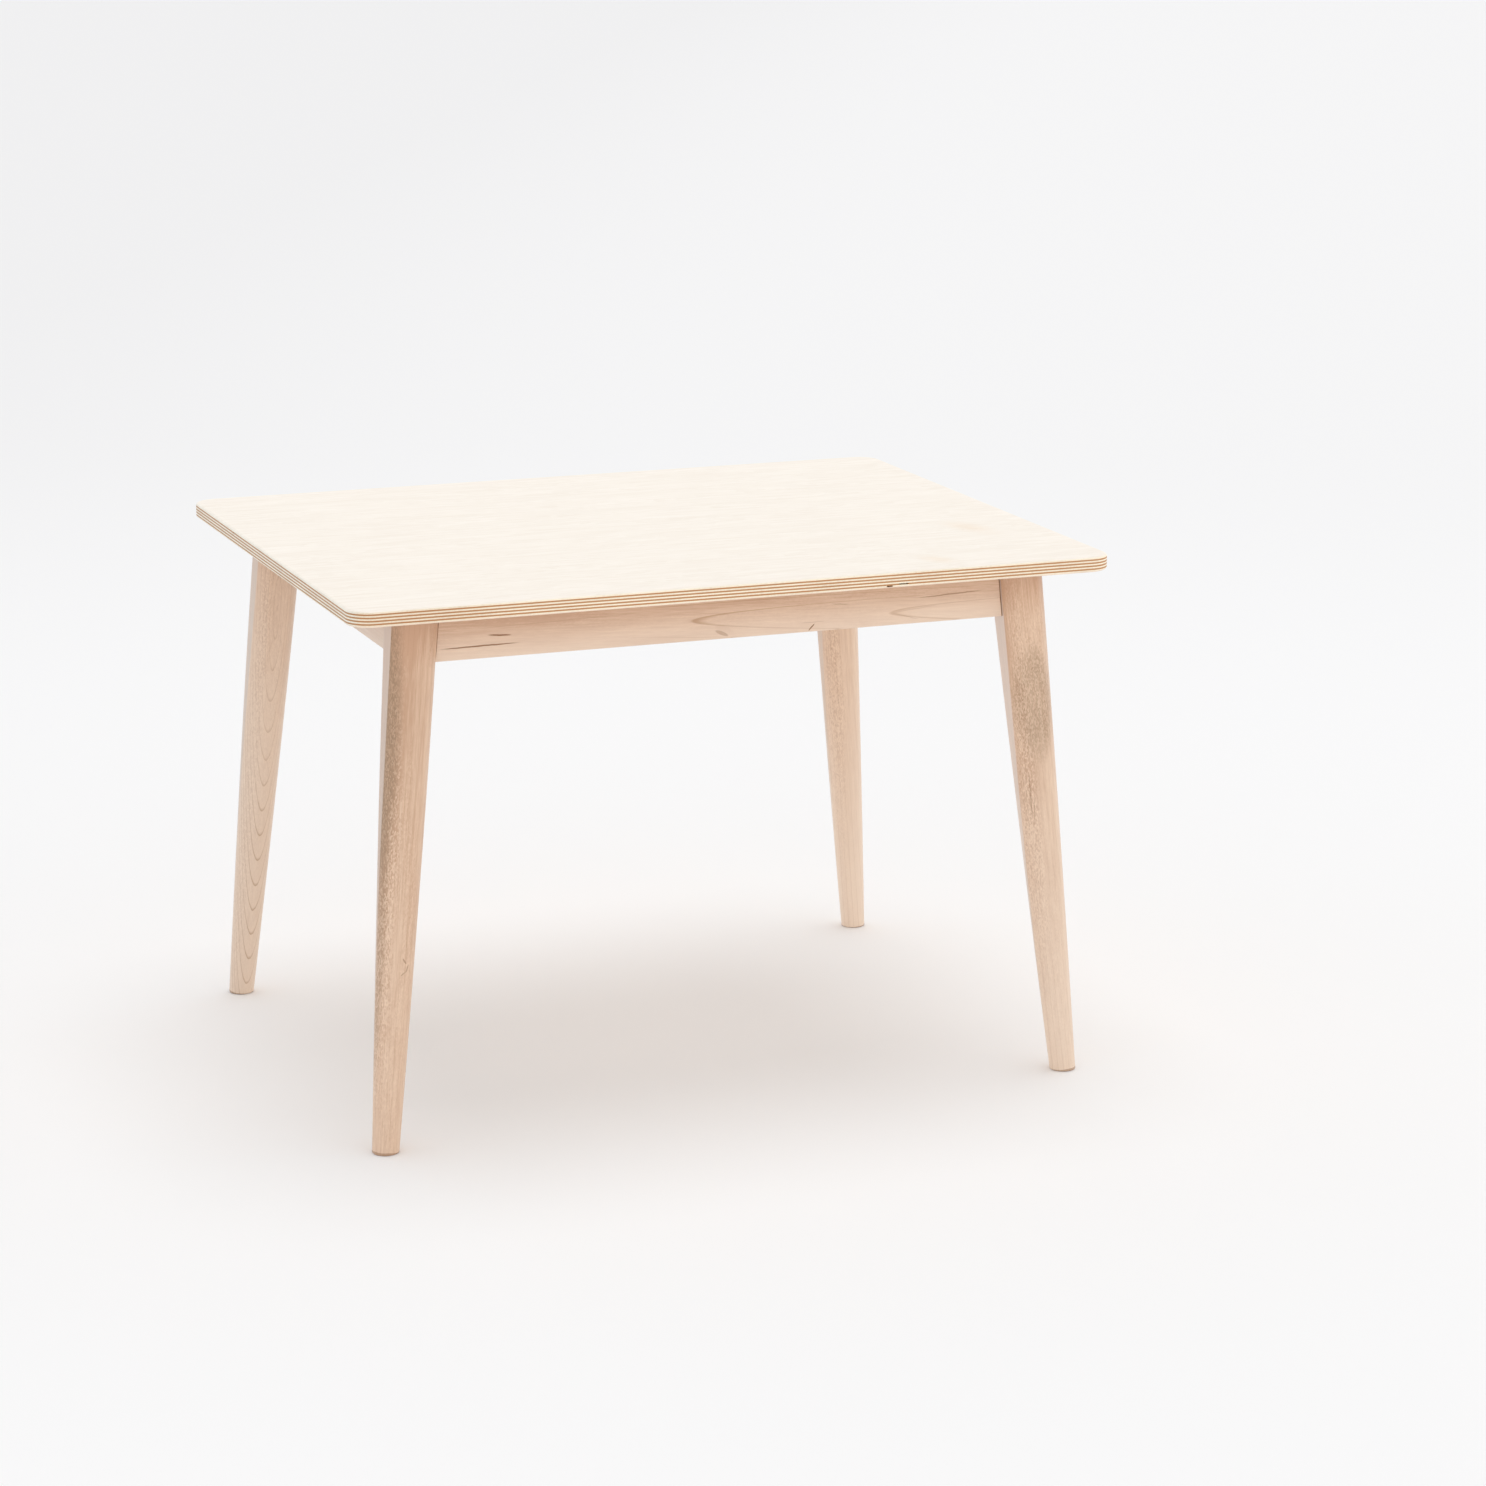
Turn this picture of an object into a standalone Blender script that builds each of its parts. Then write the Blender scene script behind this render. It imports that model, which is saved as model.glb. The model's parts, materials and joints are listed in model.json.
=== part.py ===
"""A child's play table: a plywood top on a frame of four splayed legs and four aprons.

Units are metres and +Z is up. X runs along the length of the top, the front faces -Y, and the
origin is on the floor under the centre of the top. Each leg is pulled into its corner by a hanger
bolt through a pressed steel bracket, and screws driven up through the aprons hold the top.
"""
import math

import bmesh
import bpy
from mathutils import Matrix, Vector

# Clearance between solids that touch on the real table
GAP = 0.0003
# Points closer together than this are one point
SAME_POINT = 1e-6

# Tabletop: one sheet of plywood
TABLE_HEIGHT = 0.508
TOP_LENGTH = 0.737
TOP_WIDTH = 0.587
TOP_THICKNESS = 0.015
TOP_CORNER_RADIUS = 0.022
TOP_EDGE_ROUNDING = 0.003
TOP_EDGE_STEPS = 3
TOP_CORNER_STEPS = 10
UNDERSIDE = TABLE_HEIGHT - TOP_THICKNESS
FRAME_TOP = UNDERSIDE - GAP

# Legs: a turned taper, a little full in the middle, with four flats that die out about halfway
# down. The heads are where the leg axes meet the underside of the top.
LEG_FOOT_X = 0.3395
LEG_FOOT_Y = 0.2635
LEG_HEAD_X = 0.2955
LEG_HEAD_Y = 0.2295
LEG_HEAD_RADIUS = 0.0247
LEG_FOOT_RADIUS = 0.0124
LEG_SWELL = 0.0008
LEG_FLAT_AT_HEAD = 0.0215
LEG_FLAT_AT_FOOT = 0.0176
# The turned blank is longer than the leg at both ends, and is then cut level
LEG_SPARE = 0.03
LEG_FOOT_EASING = 0.001
LEG_SEGMENTS = 48
LEG_STEPS = 5

# Aprons: their outer faces stand back from the legs' outer flats
APRON_OUTER_X = 0.306
APRON_OUTER_Y = 0.2405
APRON_THICKNESS = 0.018
APRON_HEIGHT = 0.0467
APRON_ARRIS = 0.001
APRON_ARRIS_STEPS = 2
APRON_BOTTOM = FRAME_TOP - APRON_HEIGHT
APRON_MIDDLE = FRAME_TOP - APRON_HEIGHT / 2
APRON_INNER_X = APRON_OUTER_X - APRON_THICKNESS
APRON_INNER_Y = APRON_OUTER_Y - APRON_THICKNESS

# Corner brackets: a bent strip across each corner, with a lip in a kerf at both ends
BRACKET_HEIGHT = 0.034
BRACKET_THICKNESS = 0.0018
BRACKET_SETBACK = 0.023
BRACKET_WING = 0.03
BRACKET_LIP = 0.006
BRACKET_BEND = 0.0015
BRACKET_BEND_STEPS = 3
BRACKET_OFFSET = GAP + BRACKET_THICKNESS / 2
BRACKET_DRILL_REACH = 0.0054
KERF_WIDTH = 0.003
KERF_DEPTH = 0.0075

# Hanger bolts, with a flat washer and a hexagon nut; lengths are measured from the corner
BOLT_RADIUS = 0.003
BOLT_ROOT_RADIUS = 0.0021
BOLT_INSIDE = -0.02
BOLT_POINT = 0.005
BOLT_SHOULDER = 0.0105
BOLT_OUTSIDE = 0.036
BOLT_HOLE_RADIUS = 0.0036
WASHER_RADIUS = 0.008
WASHER_THICKNESS = 0.0015
NUT_ACROSS_FLATS = 0.010
NUT_HEIGHT = 0.005
NUT_CHAMFER = 0.0006

# Pan-head wood screws that hold the brackets
BRACKET_SCREW_LENGTH = 0.015
BRACKET_SCREW_ALONG = 0.0475
BRACKET_SCREW_RISE = 0.010
# Longer ones that hold the top, driven from counterbores in the aprons' lower edges
TOP_SCREW_LENGTH = 0.0445
TOP_SCREW_X = 0.140
TOP_SCREW_Y = 0.090
COUNTERBORE_DEPTH = 0.012
COUNTERBORE_RADIUS = 0.005

SCREW_RADIUS = 0.0018
SCREW_HOLE_RADIUS = 0.0023
SCREW_POINT = 0.004
SCREW_HEAD_RADIUS = 0.0037
SCREW_HEAD_HEIGHT = 0.0026
SCREW_CROWN = 0.0012
SCREW_SEGMENTS = 10
HOLE_SEGMENTS = 12
ROUND_SEGMENTS = 20

CORNERS = {
    "front_left": (-1, -1),
    "front_right": (1, -1),
    "back_left": (-1, 1),
    "back_right": (1, 1),
}
SMOOTH_ANGLE = math.radians(35)


# ---------------------------------------------------------------- general helpers

def clear_scene():
    for obj in list(bpy.data.objects):
        bpy.data.objects.remove(obj, do_unlink=True)


def principled(name, colour, roughness, metallic=0.0):
    material = bpy.data.materials.new(name)
    material.use_nodes = True
    shader = material.node_tree.nodes["Principled BSDF"]
    shader.inputs["Base Color"].default_value = (*colour, 1.0)
    shader.inputs["Roughness"].default_value = roughness
    shader.inputs["Metallic"].default_value = metallic
    material.diffuse_color = (*colour, 1.0)
    return material


def add_object(name, bm, material=None, matrix=None):
    """Turn a bmesh into a linked object, smooth over its round parts."""
    bmesh.ops.recalc_face_normals(bm, faces=bm.faces)
    mesh = bpy.data.meshes.new(name)
    bm.to_mesh(mesh)
    bm.free()
    mesh.shade_smooth()
    mesh.set_sharp_from_angle(angle=SMOOTH_ANGLE)
    if material:
        mesh.materials.append(material)
    obj = bpy.data.objects.new(name, mesh)
    bpy.context.collection.objects.link(obj)
    if matrix:
        obj.matrix_world = matrix
    return obj


def aimed(origin, direction):
    """A matrix that puts local +Z along the direction, starting at the origin."""
    turn = Vector(direction).to_track_quat("Z", "Y").to_matrix().to_4x4()
    return Matrix.Translation(origin) @ turn


def prism(outline, low, high):
    """A closed solid with the given XY outline between two heights."""
    bm = bmesh.new()
    floor = bm.faces.new([bm.verts.new((x, y, low)) for x, y in outline])
    raised = bmesh.ops.extrude_face_region(bm, geom=[floor])
    verts = [item for item in raised["geom"] if isinstance(item, bmesh.types.BMVert)]
    bmesh.ops.translate(bm, verts=verts, vec=(0, 0, high - low))
    return bm


def box(size):
    """A block centred on the origin."""
    bm = bmesh.new()
    bmesh.ops.create_cube(bm, size=1.0)
    bmesh.ops.scale(bm, verts=bm.verts, vec=size)
    return bm


def turned(profile, segments):
    """A solid of revolution about Z; the profile's (radius, height) ends lie on the axis."""
    bm = bmesh.new()
    verts = [bm.verts.new((radius, 0, height)) for radius, height in profile]
    edges = [bm.edges.new(pair) for pair in zip(verts, verts[1:])]
    bmesh.ops.spin(
        bm, geom=verts + edges, cent=(0, 0, 0), axis=(0, 0, 1),
        angle=math.tau, steps=segments, use_merge=True, use_duplicate=False,
    )
    bmesh.ops.remove_doubles(bm, verts=bm.verts, dist=SAME_POINT)
    return bm


def rod(radius, low, high):
    """A plain cylinder about Z, for drilling holes."""
    return turned([(0, low), (radius, low), (radius, high), (0, high)], HOLE_SEGMENTS)


def slice_off(bm, point, normal):
    """Cut away what lies beyond the plane and close the cut."""
    geometry = list(bm.verts) + list(bm.edges) + list(bm.faces)
    cut = bmesh.ops.bisect_plane(
        bm, geom=geometry, dist=SAME_POINT / 10, plane_co=point, plane_no=normal, clear_outer=True,
    )
    rim = [item for item in cut["geom_cut"] if isinstance(item, bmesh.types.BMEdge)]
    bmesh.ops.holes_fill(bm, edges=rim, sides=0)


def cut_away(obj, cutters):
    """Subtract placed tools, given as (bmesh, world matrix) pairs, from the object."""
    tools = bmesh.new()
    for bm, matrix in cutters:
        bmesh.ops.transform(bm, matrix=matrix, verts=bm.verts)
        bmesh.ops.recalc_face_normals(bm, faces=bm.faces)
        tool = bpy.data.meshes.new("tool")
        bm.to_mesh(tool)
        bm.free()
        tools.from_mesh(tool)
        bpy.data.meshes.remove(tool)
    guide = add_object(obj.name + "_cutter", tools)
    guide.hide_render = True
    guide.display_type = "WIRE"
    modifier = obj.modifiers.new("Holes", "BOOLEAN")
    modifier.operation = "DIFFERENCE"
    modifier.solver = "EXACT"
    modifier.object = guide


# ---------------------------------------------------------------- shared geometry

def leg_matrix(side_x, side_y):
    """Local +Z runs up the leg from the centre of its foot; X and Y face its flats."""
    foot = Vector((side_x * LEG_FOOT_X, side_y * LEG_FOOT_Y, 0))
    head = Vector((side_x * LEG_HEAD_X, side_y * LEG_HEAD_Y, UNDERSIDE))
    up = (head - foot).normalized()
    across = (Vector((1, 0, 0)) - up * up.x).normalized()
    turn = Matrix((across, up.cross(across), up)).transposed()
    return Matrix.Translation(foot) @ turn.to_4x4()


def leg_length():
    return Vector((LEG_FOOT_X - LEG_HEAD_X, LEG_FOOT_Y - LEG_HEAD_Y, UNDERSIDE)).length


def leg_radius(up):
    """Radius of the turned leg at a distance up its axis."""
    share = up / leg_length()
    return (LEG_FOOT_RADIUS + (LEG_HEAD_RADIUS - LEG_FOOT_RADIUS) * share
            + 4 * LEG_SWELL * share * (1 - share))


def leg_flat(facing):
    """Point and outward normal, in the leg's frame, of the flat that faces +-X or +-Y."""
    facing = Vector(facing)
    slope = (LEG_FLAT_AT_HEAD - LEG_FLAT_AT_FOOT) / leg_length()
    normal = (facing - Vector((0, 0, slope))).normalized()
    return facing * LEG_FLAT_AT_FOOT, normal


def corner_matrix(side_x, side_y):
    """Where the aprons' inner faces meet: +Z points at the middle of the table, +Y up."""
    corner = Vector((side_x * APRON_INNER_X, side_y * APRON_INNER_Y, APRON_MIDDLE))
    inward = Vector((-side_x, -side_y, 0)).normalized()
    up = Vector((0, 0, 1))
    turn = Matrix((up.cross(inward), up, inward)).transposed()
    return Matrix.Translation(corner) @ turn.to_4x4()


def bracket_screw_matrices(side_x, side_y):
    """The four screw positions of one bracket: +Z points into the apron, from its inner face."""
    along_x = side_x * (APRON_INNER_X - BRACKET_SCREW_ALONG)
    along_y = side_y * (APRON_INNER_Y - BRACKET_SCREW_ALONG)
    places = {}
    for level, rise in (("upper", BRACKET_SCREW_RISE), ("lower", -BRACKET_SCREW_RISE)):
        height = APRON_MIDDLE + rise
        long_side = (along_x, side_y * APRON_INNER_Y, height)
        short_side = (side_x * APRON_INNER_X, along_y, height)
        places["long_" + level] = aimed(long_side, (0, side_y, 0))
        places["short_" + level] = aimed(short_side, (side_x, 0, 0))
    return places


def top_screw_matrices():
    """Screws that hold the top: +Z points up, from the mouth of the counterbore."""
    long_y = APRON_OUTER_Y - APRON_THICKNESS / 2
    short_x = APRON_OUTER_X - APRON_THICKNESS / 2
    spots = {
        "front_left": (-TOP_SCREW_X, -long_y),
        "front_right": (TOP_SCREW_X, -long_y),
        "back_left": (-TOP_SCREW_X, long_y),
        "back_right": (TOP_SCREW_X, long_y),
        "left_front": (-short_x, -TOP_SCREW_Y),
        "left_back": (-short_x, TOP_SCREW_Y),
        "right_front": (short_x, -TOP_SCREW_Y),
        "right_back": (short_x, TOP_SCREW_Y),
    }
    return {name: Matrix.Translation((x, y, APRON_BOTTOM)) for name, (x, y) in spots.items()}


# ---------------------------------------------------------------- wooden parts

def rounded_rectangle(length, width, radius, steps):
    outline = []
    for quarter, (side_x, side_y) in enumerate(((1, 1), (-1, 1), (-1, -1), (1, -1))):
        centre_x = side_x * (length / 2 - radius)
        centre_y = side_y * (width / 2 - radius)
        for step in range(steps + 1):
            angle = (quarter + step / steps) * math.pi / 2
            outline.append((centre_x + radius * math.cos(angle), centre_y + radius * math.sin(angle)))
    return outline


def make_tabletop(material):
    """A plywood slab with round corners and eased edges, pilot holes on its underside."""
    outline = rounded_rectangle(TOP_LENGTH, TOP_WIDTH, TOP_CORNER_RADIUS, TOP_CORNER_STEPS)
    bm = prism(outline, 0, TOP_THICKNESS)
    rims = [edge for edge in bm.edges if edge.verts[0].co.z == edge.verts[1].co.z]
    bmesh.ops.bevel(
        bm, geom=rims, offset=TOP_EDGE_ROUNDING, offset_type="OFFSET",
        segments=TOP_EDGE_STEPS, profile=0.5, affect="EDGES",
    )
    top = add_object("tabletop", bm, material, Matrix.Translation((0, 0, UNDERSIDE)))
    tip = COUNTERBORE_DEPTH + TOP_SCREW_LENGTH + GAP
    below = UNDERSIDE - APRON_BOTTOM - GAP
    cut_away(top, [(rod(SCREW_HOLE_RADIUS, below - SCREW_POINT, tip), place)
                   for place in top_screw_matrices().values()])


def make_leg(corner, material):
    side_x, side_y = CORNERS[corner]
    matrix = leg_matrix(side_x, side_y)
    blank_length = leg_length() + 2 * LEG_SPARE
    heights = [blank_length * step / LEG_STEPS - LEG_SPARE for step in range(LEG_STEPS + 1)]
    outside = [(leg_radius(height), height) for height in heights]
    bm = turned([(0, heights[0])] + outside + [(0, heights[-1])], LEG_SEGMENTS)
    for facing in ((1, 0, 0), (-1, 0, 0), (0, 1, 0), (0, -1, 0)):
        slice_off(bm, *leg_flat(facing))
    to_local = matrix.inverted()
    turn = to_local.to_3x3()
    slice_off(bm, to_local @ Vector((0, 0, FRAME_TOP)), turn @ Vector((0, 0, 1)))
    floor = to_local @ Vector((0, 0, 0))
    down = turn @ Vector((0, 0, -1))
    slice_off(bm, floor, down)
    rim = [edge for edge in bm.edges
           if all(abs((vert.co - floor).dot(down)) < GAP for vert in edge.verts)]
    bmesh.ops.bevel(bm, geom=rim, offset=LEG_FOOT_EASING, offset_type="OFFSET", segments=1,
                    affect="EDGES")
    leg = add_object("leg_" + corner, bm, material, matrix)
    hole = rod(BOLT_HOLE_RADIUS, BOLT_INSIDE - GAP, BRACKET_SETBACK)
    cut_away(leg, [(hole, corner_matrix(side_x, side_y))])


def apron_cutters(corner, runs_along_x):
    """Kerf for the bracket's lip and pilot holes for its screws, at one end of an apron."""
    side_x, side_y = CORNERS[corner]
    kerf_along = BRACKET_SETBACK * math.sqrt(2) + BRACKET_WING
    kerf_x = side_x * (APRON_INNER_X - kerf_along)
    kerf_y = side_y * (APRON_INNER_Y - kerf_along)
    depth = 2 * KERF_DEPTH
    height = 2 * APRON_HEIGHT
    if runs_along_x:
        kerf = box((KERF_WIDTH, depth, height))
        spot = Matrix.Translation((kerf_x, side_y * APRON_INNER_Y, APRON_MIDDLE))
    else:
        kerf = box((depth, KERF_WIDTH, height))
        spot = Matrix.Translation((side_x * APRON_INNER_X, kerf_y, APRON_MIDDLE))
    cutters = [(kerf, spot)]
    wing = "long" if runs_along_x else "short"
    seat = BRACKET_THICKNESS + 2 * GAP
    for name, place in bracket_screw_matrices(side_x, side_y).items():
        if name.startswith(wing):
            cutters.append((rod(SCREW_HOLE_RADIUS, -seat, BRACKET_SCREW_LENGTH - seat + GAP), place))
    return cutters


def make_apron(name, side, runs_along_x, material):
    """A straight rail between two legs; its ends follow the legs' leaning flats."""
    if runs_along_x:
        centre = Vector((0, side * (APRON_OUTER_Y - APRON_THICKNESS / 2), APRON_MIDDLE))
        size = (2 * LEG_FOOT_X, APRON_THICKNESS, APRON_HEIGHT)
        corners = [corner for corner, sides in CORNERS.items() if sides[1] == side]
    else:
        centre = Vector((side * (APRON_OUTER_X - APRON_THICKNESS / 2), 0, APRON_MIDDLE))
        size = (APRON_THICKNESS, 2 * LEG_FOOT_Y, APRON_HEIGHT)
        corners = [corner for corner, sides in CORNERS.items() if sides[0] == side]
    bm = box(size)
    along = 0 if runs_along_x else 1
    arrises = [edge for edge in bm.edges
               if abs(edge.verts[0].co[along] - edge.verts[1].co[along]) > LEG_FOOT_Y
               and edge.verts[0].co.z < 0]
    bmesh.ops.bevel(bm, geom=arrises, offset=APRON_ARRIS, offset_type="OFFSET",
                    segments=APRON_ARRIS_STEPS, profile=0.5, affect="EDGES")
    cutters = []
    for corner in corners:
        side_x, side_y = CORNERS[corner]
        facing = (-side_x, 0, 0) if runs_along_x else (0, -side_y, 0)
        matrix = leg_matrix(side_x, side_y)
        point, normal = leg_flat(facing)
        outward = matrix.to_3x3() @ normal
        slice_off(bm, matrix @ point + outward * GAP - centre, -outward)
        cutters += apron_cutters(corner, runs_along_x)
    apron = add_object("apron_" + name, bm, material, Matrix.Translation(centre))
    bore = [
        (0, -COUNTERBORE_DEPTH),
        (COUNTERBORE_RADIUS, -COUNTERBORE_DEPTH),
        (COUNTERBORE_RADIUS, COUNTERBORE_DEPTH),
        (SCREW_HOLE_RADIUS, COUNTERBORE_DEPTH),
        (SCREW_HOLE_RADIUS, 2 * APRON_HEIGHT),
        (0, 2 * APRON_HEIGHT),
    ]
    for spot, place in top_screw_matrices().items():
        if spot.startswith(name + "_"):
            cutters.append((turned(bore, HOLE_SEGMENTS), place))
    cut_away(apron, cutters)


# ---------------------------------------------------------------- steel parts

def rounded_path(points, radius, steps):
    """The open path with each inner corner replaced by an arc."""
    path = [points[0]]
    for before, corner, after in zip(points, points[1:], points[2:]):
        back = (before - corner).normalized()
        ahead = (after - corner).normalized()
        half_angle = back.angle(ahead) / 2
        centre = corner + (back + ahead).normalized() * radius / math.sin(half_angle)
        reach = radius / math.tan(half_angle)
        start = corner + back * reach - centre
        finish = corner + ahead * reach - centre
        sweep = start.angle_signed(finish)
        for step in range(steps + 1):
            turn = Matrix.Rotation(-sweep * step / steps, 2)
            path.append(centre + turn @ start)
    path.append(points[-1])
    return path


def strip_outline(path, thickness):
    """Both sides of a sheet of even thickness that follows the path."""
    sides = ([], [])
    last = len(path) - 1
    for index, point in enumerate(path):
        ahead = (path[min(index + 1, last)] - point).normalized()
        back = (point - path[max(index - 1, 0)]).normalized()
        direction = (ahead + back).normalized()
        across = Vector((-direction.y, direction.x)) * thickness / 2
        sides[0].append(point + across)
        sides[1].append(point - across)
    return sides[0] + sides[1][::-1]


def bracket_path():
    """Plan of the bracket about the corner: X across the corner, Y towards the table's middle."""
    lift = BRACKET_OFFSET * math.sqrt(2)
    along = Vector((1, 1)).normalized()
    into_apron = Vector((1, -1)).normalized()
    knee = Vector((BRACKET_SETBACK - lift, BRACKET_SETBACK))
    run = BRACKET_WING + BRACKET_OFFSET
    turn = knee + along * run
    lip = turn + into_apron * (BRACKET_OFFSET + BRACKET_LIP)
    right = [knee, turn, lip]
    left = [Vector((-point.x, point.y)) for point in reversed(right)]
    return left + right


def make_bracket(corner, material):
    """A pressed steel strip across the corner, with wings along both aprons."""
    side_x, side_y = CORNERS[corner]
    path = rounded_path(bracket_path(), BRACKET_BEND, BRACKET_BEND_STEPS)
    outline = strip_outline(path, BRACKET_THICKNESS)
    bm = prism(outline, -BRACKET_HEIGHT / 2, BRACKET_HEIGHT / 2)
    stand = Matrix.Rotation(math.pi / 2, 4, "X") @ Matrix.Scale(-1, 4, (0, 0, 1))
    bmesh.ops.transform(bm, matrix=stand, verts=bm.verts)
    matrix = corner_matrix(side_x, side_y)
    bracket = add_object("corner_bracket_" + corner, bm, material, matrix)
    low = BRACKET_SETBACK - BRACKET_DRILL_REACH
    high = BRACKET_SETBACK + BRACKET_DRILL_REACH
    cutters = [(rod(BOLT_HOLE_RADIUS, low, high), matrix)]
    for place in bracket_screw_matrices(side_x, side_y).values():
        cutters.append((rod(SCREW_HOLE_RADIUS, -BRACKET_DRILL_REACH, BRACKET_DRILL_REACH), place))
    cut_away(bracket, cutters)


def make_hanger_bolt(corner, material):
    """A stud with a wood thread in the leg and a machine thread for the nut."""
    profile = [
        (0, BOLT_INSIDE),
        (BOLT_ROOT_RADIUS / 2, BOLT_INSIDE + BOLT_POINT / 4),
        (BOLT_ROOT_RADIUS, BOLT_INSIDE + BOLT_POINT),
        (BOLT_ROOT_RADIUS, BOLT_SHOULDER),
        (BOLT_RADIUS, BOLT_SHOULDER + BOLT_RADIUS - BOLT_ROOT_RADIUS),
        (BOLT_RADIUS, BOLT_OUTSIDE - NUT_CHAMFER),
        (BOLT_RADIUS - NUT_CHAMFER, BOLT_OUTSIDE),
        (0, BOLT_OUTSIDE),
    ]
    add_object("hanger_bolt_" + corner, turned(profile, HOLE_SEGMENTS), material,
               corner_matrix(*CORNERS[corner]))


def ring(inner, outer, height, segments):
    """A flat ring between z = 0 and the height."""
    bm = bmesh.new()
    corners = ((inner, 0), (outer, 0), (outer, height), (inner, height))
    verts = [bm.verts.new((radius, 0, z)) for radius, z in corners]
    edges = [bm.edges.new(pair) for pair in zip(verts, verts[1:] + verts[:1])]
    bmesh.ops.spin(
        bm, geom=verts + edges, cent=(0, 0, 0), axis=(0, 0, 1),
        angle=math.tau, steps=segments, use_merge=True, use_duplicate=False,
    )
    bmesh.ops.remove_doubles(bm, verts=bm.verts, dist=SAME_POINT)
    return bm


def make_washer(corner, material):
    seat = BRACKET_SETBACK + BRACKET_THICKNESS / 2 + GAP
    bm = ring(BOLT_HOLE_RADIUS, WASHER_RADIUS, WASHER_THICKNESS, ROUND_SEGMENTS)
    place = corner_matrix(*CORNERS[corner]) @ Matrix.Translation((0, 0, seat))
    add_object("washer_" + corner, bm, material, place)


def make_nut(corner, material):
    """A hexagon nut with its outer corners chamfered."""
    seat = BRACKET_SETBACK + BRACKET_THICKNESS / 2 + WASHER_THICKNESS + 2 * GAP
    circumradius = NUT_ACROSS_FLATS / math.sqrt(3)
    hexagon = [(circumradius * math.cos(k * math.pi / 3), circumradius * math.sin(k * math.pi / 3))
               for k in range(6)]
    bm = prism(hexagon, 0, NUT_HEIGHT)
    rim = [edge for edge in bm.edges if all(vert.co.z > NUT_HEIGHT / 2 for vert in edge.verts)]
    bmesh.ops.bevel(bm, geom=rim, offset=NUT_CHAMFER, offset_type="OFFSET", segments=1,
                    affect="EDGES")
    place = corner_matrix(*CORNERS[corner]) @ Matrix.Translation((0, 0, seat))
    nut = add_object("nut_" + corner, bm, material, place)
    cut_away(nut, [(rod(BOLT_HOLE_RADIUS, -NUT_HEIGHT, 2 * NUT_HEIGHT), place)])


def screw_profile(length):
    """A pan-head screw: the head is below z = 0 and the point is at the length."""
    flat = SCREW_HEAD_RADIUS - SCREW_CROWN
    rise = SCREW_CROWN * math.sqrt(0.5)
    return [
        (0, -SCREW_HEAD_HEIGHT),
        (flat, -SCREW_HEAD_HEIGHT),
        (flat + rise, SCREW_CROWN - rise - SCREW_HEAD_HEIGHT),
        (SCREW_HEAD_RADIUS, SCREW_CROWN - SCREW_HEAD_HEIGHT),
        (SCREW_HEAD_RADIUS, 0),
        (SCREW_RADIUS, 0),
        (SCREW_RADIUS, length - SCREW_POINT),
        (0, length),
    ]


def make_screws(material):
    """All wood screws, each seated one gap off what it holds down."""
    short = screw_profile(BRACKET_SCREW_LENGTH)
    seat = Matrix.Translation((0, 0, -BRACKET_THICKNESS - 2 * GAP))
    for corner, sides in CORNERS.items():
        for spot, place in bracket_screw_matrices(*sides).items():
            name = "bracket_screw_" + corner + "_" + spot
            add_object(name, turned(short, SCREW_SEGMENTS), material, place @ seat)
    long = screw_profile(TOP_SCREW_LENGTH)
    seat = Matrix.Translation((0, 0, COUNTERBORE_DEPTH - GAP))
    for spot, place in top_screw_matrices().items():
        add_object("top_screw_" + spot, turned(long, SCREW_SEGMENTS), material, place @ seat)


# ---------------------------------------------------------------- assembly

def main():
    clear_scene()
    birch = principled("birch_plywood", (0.86, 0.78, 0.67), 0.45)
    maple = principled("maple", (0.66, 0.46, 0.32), 0.45)
    zinc = principled("zinc_plated_steel", (0.62, 0.63, 0.64), 0.35, 1.0)
    steel = principled("bright_steel", (0.70, 0.70, 0.70), 0.25, 1.0)
    make_tabletop(birch)
    for corner in CORNERS:
        make_leg(corner, maple)
    make_apron("front", -1, True, maple)
    make_apron("back", 1, True, maple)
    make_apron("left", -1, False, maple)
    make_apron("right", 1, False, maple)
    for corner in CORNERS:
        make_bracket(corner, zinc)
        make_hanger_bolt(corner, steel)
        make_washer(corner, steel)
        make_nut(corner, steel)
    make_screws(zinc)


main()
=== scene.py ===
"""Looks of a child's play table: a pale birch plywood top on a maple frame, in a bright studio.

Units are metres in the table's own frame: +Z is up, X runs along the top, the front faces -Y.
"""
import json
import math
import random

import bmesh
import bpy
from mathutils import Matrix, Vector


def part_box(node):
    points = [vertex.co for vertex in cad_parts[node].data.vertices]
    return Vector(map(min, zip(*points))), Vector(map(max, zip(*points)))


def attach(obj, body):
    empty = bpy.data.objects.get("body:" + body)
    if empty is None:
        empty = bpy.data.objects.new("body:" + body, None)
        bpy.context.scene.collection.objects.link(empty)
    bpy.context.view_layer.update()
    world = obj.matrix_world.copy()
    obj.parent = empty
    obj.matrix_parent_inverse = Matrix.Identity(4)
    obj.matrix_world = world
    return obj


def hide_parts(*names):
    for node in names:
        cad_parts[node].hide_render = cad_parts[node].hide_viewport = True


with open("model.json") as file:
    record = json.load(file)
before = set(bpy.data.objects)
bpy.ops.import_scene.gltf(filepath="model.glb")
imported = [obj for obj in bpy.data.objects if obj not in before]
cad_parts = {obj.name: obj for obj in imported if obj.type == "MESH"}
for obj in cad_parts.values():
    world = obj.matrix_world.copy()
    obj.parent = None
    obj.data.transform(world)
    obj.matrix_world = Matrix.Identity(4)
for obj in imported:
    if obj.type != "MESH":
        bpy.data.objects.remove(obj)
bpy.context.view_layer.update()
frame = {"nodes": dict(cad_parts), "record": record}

# Air left between a fastener and what it is tightened against
GAP = 0.0003

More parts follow.
